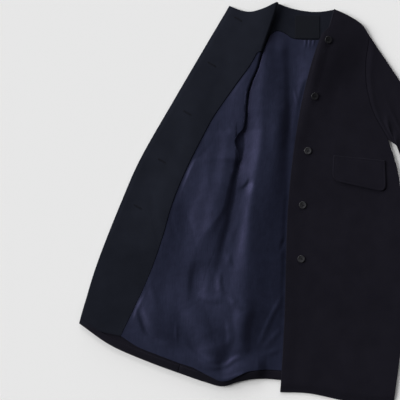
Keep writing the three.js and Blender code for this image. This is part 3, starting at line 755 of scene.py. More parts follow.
def satin(name, dark, light):
    """Satin lining: fine lengthwise floats with a soft gloss"""
    shade = Shade(name)
    cloth = shade.cloth_place()
    floats = shade.noise(shade.cloth_place((1, 0.06, 1)), 5200, 2, 0.5)
    slubs = shade.noise(shade.cloth_place((1, 0.03, 1)), 700, 2, 0.6)
    crush = shade.noise(cloth, 46, 3, 0.5)
    tone = shade.remap(floats * 0.35 + slubs * 0.35 + crush * 0.3, 0.36, 0.64)
    relief = floats * 0.5 + slubs * 0.35
    fine = shade.bump(relief, 0.00012, 0.6)
    soft = shade.bump(crush, 0.0022, 0.28, fine)
    return shade.finish({
        "Base Color": shade.between(tone, dark, light),
        "Roughness": shade.remap(slubs, 0.3, 0.7, 0.42, 0.5),
        "Normal": soft, "Specular IOR Level": 0.31, "Specular Tint": (0.52, 0.48, 1.0, 1),
        "Sheen Weight": 0.02, "Sheen Roughness": 0.35, "Sheen Tint": (0.6, 0.68, 0.9, 1),
    })


def woven_label(name):
    """A close woven label with fine ribs across it"""
    shade = Shade(name)
    ribs = shade.node("TexWave", {"bands_direction": "Y"}, {
        "Vector": shade.cloth_place(), "Scale": 420, "Distortion": 0.4}, 1)
    threads = shade.noise(shade.cloth_place((0.25, 1, 1)), 3000, 2, 0.5)
    tone = shade.remap(threads * 0.7 + ribs * 0.3, 0.3, 0.75)
    return shade.finish({
        "Base Color": shade.between(tone, (0.0050, 0.0057, 0.0082), (0.0101, 0.0115, 0.0162)),
        "Roughness": shade.remap(ribs, 0, 1, 0.5, 0.68),
        "Normal": shade.bump(ribs * 0.6 + threads * 0.4, 0.0002, 0.6),
        "Specular IOR Level": 0.06,
    })


def thread(name, colour):
    """Sewing thread of two twisted plies"""
    shade = Shade(name)
    place = shade.own_place()
    plies = shade.node("TexWave", {"bands_direction": "DIAGONAL"}, {
        "Vector": place, "Scale": 900, "Distortion": 0.5}, 1)
    dark = tuple(0.55 * c for c in colour)
    return shade.finish({
        "Base Color": shade.between(plies, dark, colour), "Roughness": shade.remap(plies, 0, 1, 0.6, 0.75),
        "Normal": shade.bump(plies, 0.0001, 0.5), "Specular IOR Level": 0.06,
    })


def horn(name, dark, light):
    """Half-gloss button resin with faint cloudy streaks"""
    shade = Shade(name)
    place = shade.own_place()
    drawn_out = shade.node("Mapping", inputs={
        "Vector": place, "Scale": (1, 0.3, 1), "Rotation": (0, 0, 0.6)})
    streaks = shade.noise(drawn_out, 260, 4, 0.6)
    scuffs = shade.noise(place, 1800, 2, 0.6)
    return shade.finish({
        "Base Color": shade.between(shade.remap(streaks, 0.35, 0.7), dark, light),
        "Roughness": shade.remap(scuffs, 0.3, 0.75, 0.28, 0.42),
        "Normal": shade.bump(scuffs, 0.00005, 0.3), "Specular IOR Level": 0.3,
    })


def floor_paint(name):
    """Even pale paint"""
    shade = Shade(name)
    place = shade.own_place()
    grain = shade.noise(place, 300, 2, 0.5)
    return shade.finish({
        "Base Color": shade.between(grain, (0.80, 0.80, 0.80), (0.815, 0.815, 0.815)),
        "Roughness": 0.9, "Specular IOR Level": 0.1,
    })


OUTER_WOOL = wool("outer_wool", (0.0054, 0.0049, 0.0082), (0.0096, 0.0089, 0.0138))
FACING_WOOL = wool("facing_wool", (0.0060, 0.0069, 0.0108), (0.0111, 0.0127, 0.0195))
LINING_SATIN = satin("lining_satin", (0.0081, 0.0101, 0.0192), (0.0136, 0.0167, 0.0322))
LABEL_CLOTH = woven_label("label_cloth")
DARK_THREAD = thread("dark_thread", (0.006, 0.006, 0.009))
BUTTON_HORN = horn("button_horn", (0.012, 0.012, 0.014), (0.034, 0.034, 0.038))
# A darker copy of the button resin: painted shade for the two buttons at the neck, which lean away from
# the light
SHADE_PAINTED_HORN = horn("shade_painted_horn", (0.006, 0.006, 0.008), (0.014, 0.014, 0.017))


# Camera, floor and light

def add_camera():
    data = bpy.data.cameras.new("camera")
    data.lens = LENS
    data.sensor_width = SENSOR
    data.clip_start = 0.1
    data.clip_end = 20
    camera = add_object("camera", data)
    height = FRAME_WIDTH * LENS / SENSOR
    camera.location = (CAMERA_CENTRE[0] * MM, CAMERA_CENTRE[1] * MM, height * MM)
    bpy.context.scene.camera = camera


def add_floor():
    mesh = bpy.data.meshes.new("floor")
    size = 9
    corners = [(-size, -size, 0), (size, -size, 0), (size, size, 0), (-size, size, 0)]
    mesh.from_pydata(corners, [], [(0, 1, 2, 3)])
    mesh.materials.append(floor_paint("pale_floor"))
    floor = add_object("floor", mesh)


def add_sun(name, direction, power, spread):
    """A wide soft light that shines from a direction, given as a point it comes from"""
    data = bpy.data.lights.new(name, "SUN")
    data.energy = power
    data.angle = math.radians(spread)
    light = add_object(name, data)
    light.rotation_euler = Vector(direction).to_track_quat("Z", "Y").to_euler()


def add_lights():
    for sun in SUNS:
        add_sun(*sun)
    world = bpy.data.worlds.new("studio")
    world.use_nodes = True
    background = world.node_tree.nodes["Background"].inputs
    background["Color"].default_value = (1, 1, 1, 1)
    background["Strength"].default_value = LIGHT_ALL_ROUND
    bpy.context.scene.world = world
    bpy.context.scene.view_settings.view_transform = "Standard"


# The back, its lining and its neck facing

# What a millimetre up the back's side is, as a share of that side and its armhole together
HEM_SHARE = ARMPIT / reach_along(edge("rightSide"))[-1]
HEM_LINE = np.concatenate([edge("openedHem", 12)[::-1], edge("backHem", 12)])
BACK_EDGES = (
    edge_of(edge("backHem")),
    edge_of(edge("rightShoulder"), BACK_NECK_FROM, edge("backNeck"), BACK_NECK_TO,
            edge("leftShoulder")),
    edge_of(edge("rightSide"), ARMPIT, edge("rightArmhole")),
    edge_of(edge("leftSide"), ARMPIT, edge("leftArmhole")),
)


def hem_rise(x, y):
    """How far the limp hem stands off the surface"""
    near = y < HEM_RISE_TOP
    result = np.zeros(x.shape)
    away = line_distance(x[near], y[near], HEM_LINE)
    shape = (0.2 + 0.8 * smooth_step(away, *HEM_RISES)) * (1 - smooth_step(away, *HEM_FALLS))
    result[near] = np.interp(x[near], *HEM_RISE) * shape
    return result


def turn_up_height(from_hem):
    """How much thicker the cloth is where its hem is turned up"""
    return ON_BACK * (1 - smooth_step(from_hem, TURN_UP - TURN_UP_STEP, TURN_UP))


def make_back():
    a, u = np.meshgrid(shares(64, 560, 2), shares(120, 1100, 2, TURN_UP_MARKS * HEM_SHARE))
    plane = panel_points(BACK_EDGES, a, u)
    wall = SHELL + turn_up_height(u / HEM_SHARE)
    middle = at_height(plane, wall / 2 + hem_rise(plane[..., 0], plane[..., 1]))
    flat_up = np.broadcast_to(np.array([0.0, 0, 1]), middle.shape)
    return rounded_sheet("back_cloth", middle, wall, OUTER_WOOL, flat_up)


def seam_y(x):
    """Where the neck facing's seam lies at each x"""
    line = curve_through(NECK_FACING_SEAM)
    return np.interp(x, line[:, 0], line[:, 1])


def share_of_seam(across):
    """The share up each column of the back at which it meets the neck facing's seam"""
    up = np.linspace(0.5, 1, 1500)
    a, u = np.meshgrid(across, up)
    plane = panel_points(BACK_EDGES, a, u)
    below = plane[..., 1] < seam_y(plane[..., 0])
    return np.where(below.all(axis=0), 1.0, up[np.argmin(below, axis=0)])


def armhole_x(y):
    """The x of the back's side seam and armhole at each y"""
    return x_on(np.concatenate([edge("rightSide"), edge("rightArmhole")]), y)


def left_front_underside(x, y):
    """Height of the left front's lower side, with its free corner and edge raised"""
    cx, cy, level, reach, height = CORNER_RISE
    corner = height * (1 - smooth_step(np.hypot(x - cx, y - cy), level, reach))
    return OVER_BACK + corner + fold_height(x, y, *EDGE_RISE) * (1 - corner / height)


def shared_folds_height(x, y):
    """Height of all that crosses the side seam, on both linings"""
    start = swelling_height(x, y, SHARED_SWELLINGS) + waves(x, y, 5, 0.35, 70)
    return with_folds(start, x, y, SHARED_FOLDS)


def kept_beneath(height, underside, share):
    """The lining's height, pressed by a share of the way beneath the piece on it"""
    most = underside - SEAM_GAP - LINING - ON_BACK - 0.2
    return height * (1 - share) + share * np.minimum(height, most)


def back_lining_height(x, y):
    """Height of the back lining's lower side over the back"""
    start = big_fold_height(x, y) + shared_folds_height(x, y)
    height = soft_floor(with_folds(start, x, y, BACK_LINING_FOLDS)) + hem_rise(x, y)
    covered = smooth_step(x - x_on(edge("leftFront"), y), *UNDER_LEFT_EDGE)
    height = kept_beneath(height, left_front_underside(x, y), covered)
    hidden = smooth_step(roll_x(y) - x, *UNDER_ROLL) * (y > UNDER_ROLL_ABOVE)
    height = kept_beneath(height, ROLL_LEVEL, hidden)
    over_sleeve = smooth_step(armhole_x(y) - x, *OVER_ARMHOLE) * smooth_step(y, *ONTO_SLEEVE)
    height = np.maximum(height, over_sleeve * (SLEEVE_HEIGHT + SEAM_GAP - ON_BACK))
    return np.maximum(height, 0.05)


def make_back_lining():
    across = shares(150, 560, LINING / 2)
    top = share_of_seam(across)
    t = shares(210, 1000, LINING / 2)
    hem_x = BACK_EDGES[0](across)[:, 0]
    start = (TURN_UP + 0.5 - np.interp(hem_x, *LINING_DROP)) * HEM_SHARE
    a = np.broadcast_to(across, (len(t), len(across)))
    u = start + (top - start - NECK_SEAM_SHARE) * t[:, None]
    plane = panel_points(BACK_EDGES, a, u)
    plane[..., 0] -= BACK_PAST_SEAM * (1 - a)
    near_y = plane[:, :1, 1]
    into_armhole = np.maximum(armhole_x(near_y) - roll_x(near_y) + 2, 0) * smooth_step(near_y, 104, 120)
    plane[..., 0] -= into_armhole * (1 - a) ** 14
    over_turn_up = ON_BACK * (1 - smooth_step(u / HEM_SHARE, TURN_UP - 4, TURN_UP + 5))
    over_turn_up *= np.interp(plane[..., 0], *LINING_DROP) > 0.5
    height = back_lining_height(plane[..., 0], plane[..., 1]) + over_turn_up
    middle = at_height(plane, ON_BACK + LINING / 2 + height)
    return rounded_sheet("back_lining_cloth", middle, LINING, LINING_SATIN, rounding=0.25)


def make_neck_facing():
    across = shares(90, 560, FACING / 2)
    top = share_of_seam(across)
    across = across[top < 0.985]
    top = top[top < 0.985]
    t = shares(40, 80, FACING / 2)
    a = np.broadcast_to(across, (len(t), len(across)))
    u = top + NECK_SEAM_SHARE + (1 - top - NECK_SEAM_SHARE) * t[:, None]
    plane = panel_points(BACK_EDGES, a, u)
    middle = at_height(plane, ON_BACK + FACING / 2)
    return rounded_sheet("neck_facing_cloth", middle, FACING, FACING_WOOL)


def make_label():
    left, bottom, right, top = LABEL_CORNERS
    x, y = np.meshgrid(left + (right - left) * shares(24, 66, LABEL),
                       bottom + (top - bottom) * shares(24, 62, LABEL))
    plane = np.stack([x, y], axis=-1)
    middle = at_height(plane, ON_FACING + LABEL / 2)
    return rounded_sheet("label_cloth", middle, LABEL, LABEL_CLOTH)


# The right front, its facing and its lining

# The edge that the turned-back front hangs over: the side seam, the hollow at the armhole, the fold
TURNED_EDGE = curve_through([
    "rightSideHem", (-292, -248), (-221, -54), (-192, 62), (-181, 112), (-182, 134), (-189, 154),
    (-192, 172), (-184, 188), (-170, 204), (-165, 228), (-163, 260), (-159, 300), (-149, 332), (-134, 366),
    (-124, 402), (-111, 440), (-90, 500),
    "rightNeck",
])


def roll_x(y):
    """The x of the turned front's edge at each y"""
    return x_on(TURNED_EDGE, y)


def roll_share(y):
    """0 where the front's edge is the side seam, 1 where it is the rolled fold"""
    return smooth_step(y, ROLL_FROM, ROLL_TO)


def roll_radius(y):
    """Radius of the turned front's edge: its wall at the side seam, and more up the roll"""
    share = np.clip((y - 154) / 130, 0, 1)
    rolled = ROLL_AT_ARMPIT + (ROLL_AT_NECK - ROLL_AT_ARMPIT) * share
    return SHELL / 2 + (rolled - SHELL / 2) * roll_share(y)


def sleeve_distance(x, y):
    """How far points lie outside the right sleeve"""
    sleeve = SLEEVES["sleeve_right"]
    outer, under = (curve_through(sleeve[side], 6) for side in ("outer", "under"))
    return outline_distance(x, y, np.concatenate([outer, under[::-1]]))


def turned_front_height(x, y):
    """Height of the upper side of the turned-back front's wool"""
    radius, rolls = roll_radius(y), roll_share(y)
    from_roll = np.maximum(roll_x(y) - radius - x, 0)
    over_sleeve = 1 - smooth_step(sleeve_distance(x, y), 6, SLEEVE_EASE)
    fall = SEAM_FALL + SEAM_FALL_MORE * (1 - smooth_step(y, *SEAM_FALL_GROWS))
    over_sleeve *= 1 - (1 - rolls) * (1 - smooth_step(from_roll, 0, fall))
    resting = SHELL + (OVER_SLEEVE + SEAM_GAP) * over_sleeve
    reach = SIDE_SEAM_REACH + (ROLL_REACH - SIDE_SEAM_REACH) * rolls
    rolled = 1 - smooth_step(from_roll, 0, reach)
    crest = ROLL_LEVEL * rolls + 2 * radius
    return (resting + np.maximum(crest - resting, 0) * rolled
            + hem_rise(x, y) + fold_height(x, y, *SEAM_LIFT))


def turned_layer(plane, over, rise, rolls):
    """Middle points and normals of a layer of the turned-back front: each row starts round the
    roll as far as rolls says, and goes on over the front, raised by over and by rise(x, y)"""
    near_y = plane[:, :1, 1]
    radius = roll_radius(near_y)
    rolls = rolls[:, None]
    turn = rolls * (radius + over) + 0.03
    z = turned_front_height(plane[..., 0], plane[..., 1]) + over + rise(plane[..., 0], plane[..., 1])
    centre_x = plane[:, :1, 0]
    centre_z = z[:, :1] - turn
    arc_x = centre_x + turn * np.cos(ROLL_ANGLES)
    arc_z = centre_z + turn * np.sin(ROLL_ANGLES)
    arc = np.stack([arc_x, np.broadcast_to(near_y, arc_x.shape), arc_z], axis=-1)
    middle = np.concatenate([arc, at_height(plane, z)], axis=1)
    normals = grid_normals(middle)
    count = len(ROLL_ANGLES)
    plain = normals[:, count + 2:count + 3]
    share = rolls[..., None]
    normals[:, :count + 2] = normals[:, :count + 2] * share + plain * (1 - share)
    normals /= np.linalg.norm(normals, axis=2, keepdims=True)
    return middle, normals


def turned_panel(edges, across, up):
    """Points of a panel of the turned-back front, drawn in from the roll by its radius"""
    a, u = np.meshgrid(across, up)
    plane = panel_points(edges, a, u)
    rolls = roll_share(plane[:, :1, 1])
    inwards = roll_radius(plane[:, :1, 1]) * rolls - FRONT_PAST_SEAM * (1 - rolls)
    plane[..., 0] -= inwards * (1 - a)
    return plane, u


def part_of(curve, low, high):
    """The part of a curve between two heights on the sheet"""
    points = curve[(curve[:, 1] > low) & (curve[:, 1] < high)]
    ends = [np.array([[x_on(curve, y), y]]) for y in (low, high)]
    return np.concatenate([ends[0], points, ends[1]])


def no_rise(x, y):
    return np.zeros(x.shape)


def make_front_right():
    edges = four_edges(edge("openedHem"), edge("openedNeck"), TURNED_EDGE, edge("openedFront"))
    length = reach_along(TURNED_EDGE)[-1]
    rows = shares(130, 1050, 1, TURN_UP_MARKS / length)
    plane, up = turned_panel(edges, shares(90, 320, 1), rows)
    thicker = turn_up_height(up * length)
    middle, normals = turned_layer(plane, -SHELL / 2, no_rise, roll_share(plane[:, 0, 1]))
    thicker = np.concatenate([thicker[:, :1]] * len(ROLL_ANGLES) + [thicker], axis=1)
    middle[..., 2] += thicker / 2
    return rounded_sheet("front_right_cloth", middle, SHELL + thicker, OUTER_WOOL, normals)


def make_facing():
    fold = part_of(TURNED_EDGE, TOP_OF_SEAM + 3, CORNER["rightNeck"][1] - 0.01)
    near = np.concatenate([curve_through(FRONT_FACING_SEAM), fold])
    edges = four_edges(curve_through(FACING_HEM), edge("openedNeck"), near, edge("openedFront"))
    a, u = np.meshgrid(shares(70, 140, 0.9), shares(190, 980, 0.9))
    plane = panel_points(edges, a, u)
    rolls = smooth_step(plane[:, 0, 1], TOP_OF_SEAM, TOP_OF_SEAM + 8)
    plane[..., 0] -= roll_radius(plane[:, :1, 1]) * rolls[:, None] * (1 - a)
    plane[..., 0] -= SEAM_GAP * (1 - a)
    middle, normals = turned_layer(plane, SEAM_GAP + FACING / 2, facing_rise, rolls)
    return rounded_sheet("facing_right_cloth", middle, FACING, FACING_WOOL, normals)


def facing_rise(x, y):
    """How far the facing stands off the wool beneath it"""
    height = with_folds(waves(x, y, 8, 0.5, 110), x, y, FACING_FOLDS)
    from_edge = line_distance(x, y, edge("openedFront", 6))
    lift = FACING_LIFT * (0.15 + 0.85 * smooth_step(y, -200, 20))
    return soft_floor(height, 0, 1) + lift * smooth_step(from_edge, 1, 14)


def front_lining_rise(x, y):
    """How far the front lining stands off the wool beneath it"""
    start = swelling_height(x, y, FRONT_SWELLINGS) + shared_folds_height(x, y)
    start += big_fold_height(x, y) * (1 - smooth_step(y, *BIG_FOLD_FADES))
    height = with_folds(start, x, y, FRONT_LINING_FOLDS)
    height *= smooth_step(x - x_on(np.array(FRONT_FACING_SEAM, float), y), -1, 14)
    return np.maximum(soft_floor(height), 0.05)


def make_front_lining():
    near = part_of(TURNED_EDGE, -426, TOP_OF_SEAM)
    hem = curve_through([tuple(near[0]), (-405, -401), (-454, -381), FRONT_FACING_SEAM[0]])
    top = np.array([near[-1], FRONT_FACING_SEAM[-1]], float)
    edges = four_edges(hem, top, near, curve_through(FRONT_FACING_SEAM))
    plane, _ = turned_panel(edges, shares(110, 170, 0.5), shares(210, 900, 0.5))
    rolls = roll_share(plane[:, 0, 1])
    middle, normals = turned_layer(plane, SEAM_GAP + LINING / 2, front_lining_rise, rolls)
    return rounded_sheet("front_lining_cloth", middle, LINING, LINING_SATIN, normals, rounding=0.25)


# The left front and its pocket flap

LEFT_EDGES = (
    edge_of(edge("leftHem")),
    edge_of(edge("leftFrontNeck"), LEFT_NECK_TO, edge("leftShoulder")),
    edge_of(edge("leftFront")),
    edge_of(edge("leftFrontSide"), ARMPIT, edge("leftArmhole")),
)


def left_front_top(x, y):
    """Height of the left front's upper side away from its edges"""
    loose = soft_floor(waves(x, y, 11, 0.5, 120), 0, 1) + fold_height(x, y, *EDGE_ROLL)
    return left_front_underside(x, y) + SHELL + loose


def make_front_left():
    side_length = reach_along(edge("leftFrontSide"))[-1]
    a, u = np.meshgrid(shares(110, 300, 1.6), shares(200, 1000, 1.6))
    plane = panel_points(LEFT_EDGES, a, u)
    x, y = plane[..., 0], plane[..., 1]
    from_hem = u / ARMPIT * side_length
    open_edge = np.concatenate([edge("leftFront", 8), edge("leftFrontNeck", 8)])
    folded = 1 - smooth_step(line_distance(x, y, open_edge), *FACING_ENDS)
    turned = 1 - smooth_step(from_hem, *TURN_UP_ENDS)
    wall = SHELL + np.maximum(FACED_EDGE * folded, FACED_HEM * turned)
    lifted = smooth_step(from_hem, *OFF_SURFACE)
    top = (left_front_top(x, y) + EDGE_PUFF * folded) * lifted + wall * (1 - lifted)
    middle = at_height(plane, top - wall / 2)
    return rounded_sheet("front_left_cloth", middle, wall, OUTER_WOOL, rounding=0.5)


def make_flap():
    flap = POCKET_FLAP
    top_left, top_right, bottom_right, bottom_left = (np.array(c, float) for c in flap["corners"])
    size, thick = flap["round"], flap["thick"]

    def arc(before, corner, after):
        """A corner rounded off"""
        start = corner + (before - corner) * size / np.linalg.norm(before - corner)
        end = corner + (after - corner) * size / np.linalg.norm(after - corner)
        share = np.linspace(0, 1, 17)[:, None]
        return (1 - share) ** 2 * start + 2 * share * (1 - share) * corner + share ** 2 * end

    left_arc = arc(top_left, bottom_left, bottom_right)
    right_arc = arc(bottom_left, bottom_right, top_right)
    edges = four_edges(
        np.concatenate([left_arc[8:], right_arc[:9]]),
        np.array([top_left, top_right]),
        np.concatenate([left_arc[:9][::-1], [top_left]]),
        np.concatenate([right_arc[8:], [top_right]]))
    a, u = np.meshgrid(shares(60, 140, thick / 2), shares(36, 75, thick / 2))
    plane = panel_points(edges, a, u)
    x, y = plane[..., 0], plane[..., 1]
    outline = np.concatenate([left_arc, right_arc, [top_right, top_left], left_arc[:1]])
    inside = line_distance(x, y, outline)
    groove = np.exp(-((inside - flap["stitch_inset"]) / flap["stitch_width"]) ** 2)
    wall = thick - flap["stitch_depth"] * groove
    lower = left_front_top(x, y) + SEAM_GAP + flap["bowed"] * smooth_step(1 - u, 0.2, 1)
    return rounded_sheet("pocket_flap_cloth", at_height(plane, lower + wall / 2), wall, OUTER_WOOL)


# The sleeves

def sleeve_panel(name):
    """Edges of a sleeve pressed flat: armhole, cuff, outer edge and under edge"""
    sleeve = SLEEVES[name]
    moved = np.array([sleeve["clear"], 0])
    armhole = edge(sleeve["armhole"])[::-1] + moved
    outer = curve_through(sleeve["outer"]) + moved
    under = curve_through(sleeve["under"]) + moved
    cuff = np.array([outer[-1], under[-1]])
    return four_edges(armhole, cuff, outer, under)


def sleeve_creases(name, across, along, x, y):
    """Creases of a sleeve's upper side, on the left one only: the front presses the other flat"""
    if name == "sleeve_right":
        return np.zeros(x.shape)
    height = waves(x, y, 21, 0.6, 70)
    for start, end, high, wide in SLEEVE_CREASES:
        length = math.hypot(end[0] - start[0], end[1] - start[1])
        da, du = (end[0] - start[0]) / length, (end[1] - start[1]) / length
        t = ((across - start[0]) * da + (along - start[1]) * du) / length
        off = (across - start[0]) * du - (along - start[1]) * da
        height += high * swell(2 * t - 1) * swell(off / wide)
    return soft_floor(height, 0, 1) + 1.4 * np.exp(-((along - 0.035) / 0.02) ** 2)


def make_sleeve(name):
    """A flat tube of cloth, from rings of points across it"""
    edges = sleeve_panel(name)
    half = SLEEVE_HEIGHT / 2
    close = half * (1 - np.cos(np.radians([0, 22, 45, 68, 90])))
    rings = shares(70, 330, 1)
    outer_wall, inner_wall = [], []
    for u in rings:
        ends = panel_points(edges, np.array([0.0, 1.0]), np.array([u, u]))
        width = np.linalg.norm(ends[1] - ends[0])
        for wall, inset in ((outer_wall, 0.0), (inner_wall, SHELL - 0.4)):
            even = np.linspace(0, 1, 41)[1:-1]
            across = np.concatenate([close / width, even, 1 - close[::-1] / width])
            across = np.unique(np.clip(across, 0, 1))
            from_edge = np.minimum(across, 1 - across) * width
            round_off = half * np.sqrt(1 - (1 - np.clip(from_edge / half, 0, 1)) ** 2)
            along = np.full(across.shape, u)
            plane = panel_points(edges, across, along)
            creases = sleeve_creases(name, across, along, plane[:, 0], plane[:, 1])
            z_top = half + round_off + creases * smooth_step(from_edge, 2, 14)
            z_low = half - round_off
            centre = plane[len(plane) // 2]
            shrink = inset / (width / 2)
            plane = plane + (centre - plane) * shrink
            top = np.column_stack([plane, z_top - inset * round_off / half])
            low = np.column_stack([plane, z_low + inset * round_off / half])
            wall.append(np.concatenate([top, low[1:-1][::-1]]))
    return tube_object(f"{name}_cloth", np.array(outer_wall), np.array(inner_wall), OUTER_WOOL)


def tube_object(name, outer, inner, material):
    """A tube of cloth with open ends, from rings of outer and inner points"""
    rows, count = outer.shape[:2]
    points = np.concatenate([outer.reshape(-1, 3), inner.reshape(-1, 3)])
    first = np.arange(rows * count).reshape(rows, count)
    second = first + rows * count
    quads = []

    def join(a, b):
        """Faces between rings that lie beside each other"""
        faces = np.stack([a, np.roll(a, -1, -1), np.roll(b, -1, -1), b], axis=-1)
        quads.append(faces.reshape(-1, 4))

    join(first[:-1], first[1:])
    join(second[1:], second[:-1])
    join(second[0], first[0])
    join(first[-1], second[-1])
    quads = np.concatenate(quads)
    if signed_volume(points, quads) < 0:
        quads = quads[:, ::-1]
    around = np.cumsum(np.linalg.norm(np.diff(outer, axis=1, append=outer[:, :1]), axis=2), axis=1)
    along = np.cumsum(np.linalg.norm(np.diff(outer, axis=0, prepend=outer[:1]), axis=2), axis=0)
    uv = np.stack([around, along], axis=-1).reshape(-1, 2)
    return make_object(name, points, quads, np.concatenate([uv, uv]), material)


# Buttons

def deselect_all():
    if bpy.context.object and bpy.context.object.mode != "OBJECT":
        bpy.ops.object.mode_set(mode="OBJECT")
    bpy.ops.object.select_all(action="DESELECT")


def apply_modifiers(piece):
    bpy.context.view_layer.objects.active = piece
    for modifier in list(piece.modifiers):
        bpy.ops.object.modifier_apply(modifier=modifier.name)


def pick_upper_face(piece):
    """Selects the upper face of a disc, in edit mode"""
    bpy.ops.object.mode_set(mode="EDIT")
    bpy.ops.mesh.select_mode(type="FACE")
    bpy.ops.mesh.select_all(action="DESELECT")
    bpy.ops.object.mode_set(mode="OBJECT")
    for face in piece.data.polygons:
        face.select = face.normal.z > 0.9
    bpy.ops.object.mode_set(mode="EDIT")


def make_button():
    """A round button: a disc with a raised rim, a dished face and four thread holes"""
    deselect_all()
    bpy.ops.mesh.primitive_cylinder_add(
        vertices=64, radius=BUTTON_RADIUS * MM, depth=BUTTON_HEIGHT * MM,
        location=(0, 0, BUTTON_HEIGHT / 2 * MM), end_fill_type="NGON")
    button = bpy.context.object
    pick_upper_face(button)
    for width, depth in BUTTON_RINGS:
        bpy.ops.mesh.inset(thickness=width * MM, depth=depth * MM)
    bpy.ops.object.mode_set(mode="OBJECT")
    rounded = button.modifiers.new("rounded", "BEVEL")
    rounded.width = BUTTON_EDGE * MM
    rounded.segments = 4
    rounded.limit_method = "ANGLE"
    rounded.angle_limit = math.radians(38)
    apply_modifiers(button)
    drill_holes(button)
    button.data.shade_smooth()
    bpy.ops.object.select_all(action="DESELECT")
    button.select_set(True)
    bpy.context.view_layer.objects.active = button
    bpy.ops.object.shade_smooth_by_angle(angle=math.radians(35))
    button.data.materials.append(BUTTON_HORN)
    return button


def drill_holes(button):
    """The four holes for the thread"""
    for dx, dy in ((1, 1), (1, -1), (-1, 1), (-1, -1)):
        deselect_all()
        bpy.ops.mesh.primitive_cylinder_add(
            vertices=20, radius=HOLE_RADIUS * MM, depth=14 * MM,
            location=(dx * HOLE_OFFSET * MM, dy * HOLE_OFFSET * MM, 0))
        drill = bpy.context.object
        cut = button.modifiers.new("hole", "BOOLEAN")
        cut.operation = "DIFFERENCE"
        cut.solver = "EXACT"
        cut.object = drill
        apply_modifiers(button)
        bpy.data.objects.remove(drill)


def make_thread_cross():
    """Two crossed loops of thread over a button's holes"""
    strands = []
    for turn, lift in ((45, 0), (-45, 0.35)):
        deselect_all()
        bpy.ops.mesh.primitive_cylinder_add(
            vertices=10, radius=THREAD_RADIUS * MM, depth=2 * THREAD_REACH * MM, location=(0, 0, 0),
            rotation=(0, math.radians(90), 0), end_fill_type="NGON")
        strand = bpy.context.object
        bpy.ops.object.transform_apply(location=True, rotation=True, scale=True)
        bpy.ops.object.mode_set(mode="EDIT")
        bpy.ops.mesh.select_all(action="SELECT")
        bpy.ops.mesh.subdivide(number_cuts=6)
        bpy.ops.object.mode_set(mode="OBJECT")
        for vertex in strand.data.vertices:
            share = abs(vertex.co.x) / (THREAD_REACH * MM)
            vertex.co.z += (lift + 0.55 - 2.2 * max(share - 0.55, 0) ** 2 * 6) * MM
        strand.data.transform(turn_matrix(turn))
        strand.data.shade_smooth()
        strands.append(strand)
    deselect_all()
    for strand in strands:
        strand.select_set(True)
    bpy.context.view_layer.objects.active = strands[0]
    bpy.ops.object.join()
    thread_piece = bpy.context.object
    thread_piece.data.materials.clear()
    thread_piece.data.materials.append(DARK_THREAD)
    return thread_piece


def turn_matrix(degrees):
    return Matrix.Rotation(math.radians(degrees), 4, "Z")


def lean_matrix(lean):
    """The lean of a button on its thread, in degrees to the right and towards the neck"""
    right, up = (math.radians(v) for v in lean)
    return Matrix.Rotation(right, 4, "Y") @ Matrix.Rotation(-up, 4, "X")


def place_copy(pattern, name, x, y, z, turn=0.0, lean=(0, 0)):
    """A copy of a piece with its own mesh, its place kept in the mesh"""
    mesh = pattern.data.copy()
    mesh.name = name
    mesh.transform(lean_matrix(lean) @ turn_matrix(turn))
    mesh.transform(move_matrix(x, y, z))
    return add_object(name, mesh)


def move_matrix(x, y, z):
    return Matrix.Translation((x * MM, y * MM, z * MM))


def button_base(x, y, lean):
    """Height at which a leaning button stands on the left front"""
    top = left_front_top(np.array([float(x)]), np.array([float(y)]))
    edge_down = BUTTON_RADIUS * math.sin(math.radians(math.hypot(*lean)))
    return float(top[0]) + SEAM_GAP + SHANK + edge_down


def one_for_each_button(pattern, name, lift):
    """Copies of a piece at the buttons' places, turned and leaning as the buttons do"""
    made = []
    for k, ((x, y), lean) in enumerate(zip(BUTTON_CENTRES, BUTTON_LEAN), 1):
        z = button_base(x, y, lean) + lift
        made.append(place_copy(pattern, f"{name}_{k}", x, y, z, BUTTON_TURN * k, lean))
    bpy.data.objects.remove(pattern)
    return made


def make_buttons():
    """The buttons, each with the solid that it stands for; the two at the neck get painted shade, a darker
    copy of the resin for their lean away from the light
    """
    made = one_for_each_button(make_button(), "button_resin", 0)
    # Painted shade: the two leaning buttons at the neck take the darker copy of the resin
    for button in made[:2]:
        button.data.materials[0] = SHADE_PAINTED_HORN
    return [(button, f"button_{k}", "button") for k, button in enumerate(made, 1)]


def make_button_threads():
    made = one_for_each_button(make_thread_cross(), "button_thread", THREAD_LEVEL)
    return [(threads, "wool") for threads in made]


def make_buttonholes():
    """Sewn buttonholes: each a slit with a wrapped thread edge, across the facing"""
    deselect_all()
    bpy.ops.mesh.primitive_torus_add(
        major_radius=BUTTONHOLE_ROUND * MM, minor_radius=BUTTONHOLE_EDGE * MM,
        major_segments=28, minor_segments=10)
    ring = bpy.context.object
    half = BUTTONHOLE_LENGTH / 2 - 2
    for vertex in ring.data.vertices:
        if abs(vertex.co.x) > 0.01 * MM:
            vertex.co.x += math.copysign(half * MM, vertex.co.x)
    ring.data.materials.append(DARK_THREAD)
    ring.data.shade_smooth()
    made = []
    for k, (x, y) in enumerate(BUTTONHOLES, 1):
        made.append((lay_on_facing(ring, f"buttonhole_{k}", x, y), "wool"))
    bpy.data.objects.remove(ring)
    return made


def facing_top(x, y):
    """Height of the facing's upper side"""
    return turned_front_height(x, y) + SEAM_GAP + FACING + facing_rise(x, y)


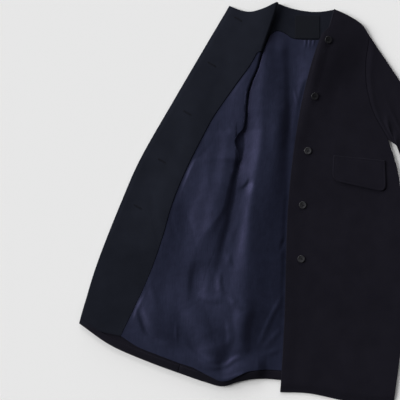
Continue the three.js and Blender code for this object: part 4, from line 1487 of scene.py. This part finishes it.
def lay_on_facing(pattern, name, x, y):
    """A copy of a piece laid on the facing's slope, sunk a little into its nap"""
    piece = place_copy(pattern, name, x, y, 0, -BUTTONHOLE_TURN)
    places = np.array([tuple(v.co) for v in piece.data.vertices]) / MM
    places[:, 2] += facing_top(places[:, 0], places[:, 1]) - BUTTONHOLE_SUNK
    for vertex, place in zip(piece.data.vertices, places):
        vertex.co = place * MM
    return piece


# Assembly

def add_cloth():
    """Every cloth piece, with the solid that it stands for, its material's slot, the size and area
    of its cut in metres, how it is held, and what it lies on"""
    return [
        (make_back(), "back", "wool", (0.608, 1.054), 0.456, "laid", []),
        (make_back_lining(), "back_lining", "satin", (0.62, 1.0), 0.435, "laid", ["back_cloth"]),
        (make_neck_facing(), "back_neck_facing", "wool", (0.36, 0.15), 0.0195, "laid", ["back_cloth"]),
        (make_label(), "label", "woven_label", (0.066, 0.062), 0.00409, "laid", ["neck_facing_cloth"]),
        (make_front_right(), "front_right", "wool", (0.4, 1.02), 0.235, "folded",
         ["back_cloth", "sleeve_right_cloth"]),
        (make_facing(), "facing_right", "wool", (0.24, 0.94), 0.1225, "laid", ["front_right_cloth"]),
        (make_front_lining(), "lining_front_right", "satin", (0.22, 0.88), 0.102, "laid",
         ["front_right_cloth"]),
        (make_front_left(), "front_left", "wool", (0.332, 1.064), 0.2685, "laid",
         ["back_cloth", "back_lining_cloth"]),
        (make_flap(), "pocket_flap_left", "wool", (0.145, 0.1), 0.011, "laid", ["front_left_cloth"]),
        (make_sleeve("sleeve_right"), "sleeve_right", "wool", (0.43, 0.61), 0.11, "folded", []),
        (make_sleeve("sleeve_left"), "sleeve_left", "wool", (0.43, 0.61), 0.118, "folded", []),
    ]


add_camera()
add_floor()
add_lights()
for piece, node, slot_name, cut, area, held, rests_on in add_cloth():
    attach(piece, "root")
    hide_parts(node)
for piece, node, slot_name in make_buttons():
    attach(piece, "root")
    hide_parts(node)
for piece, slot_name in make_button_threads() + make_buttonholes():
    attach(piece, "root")
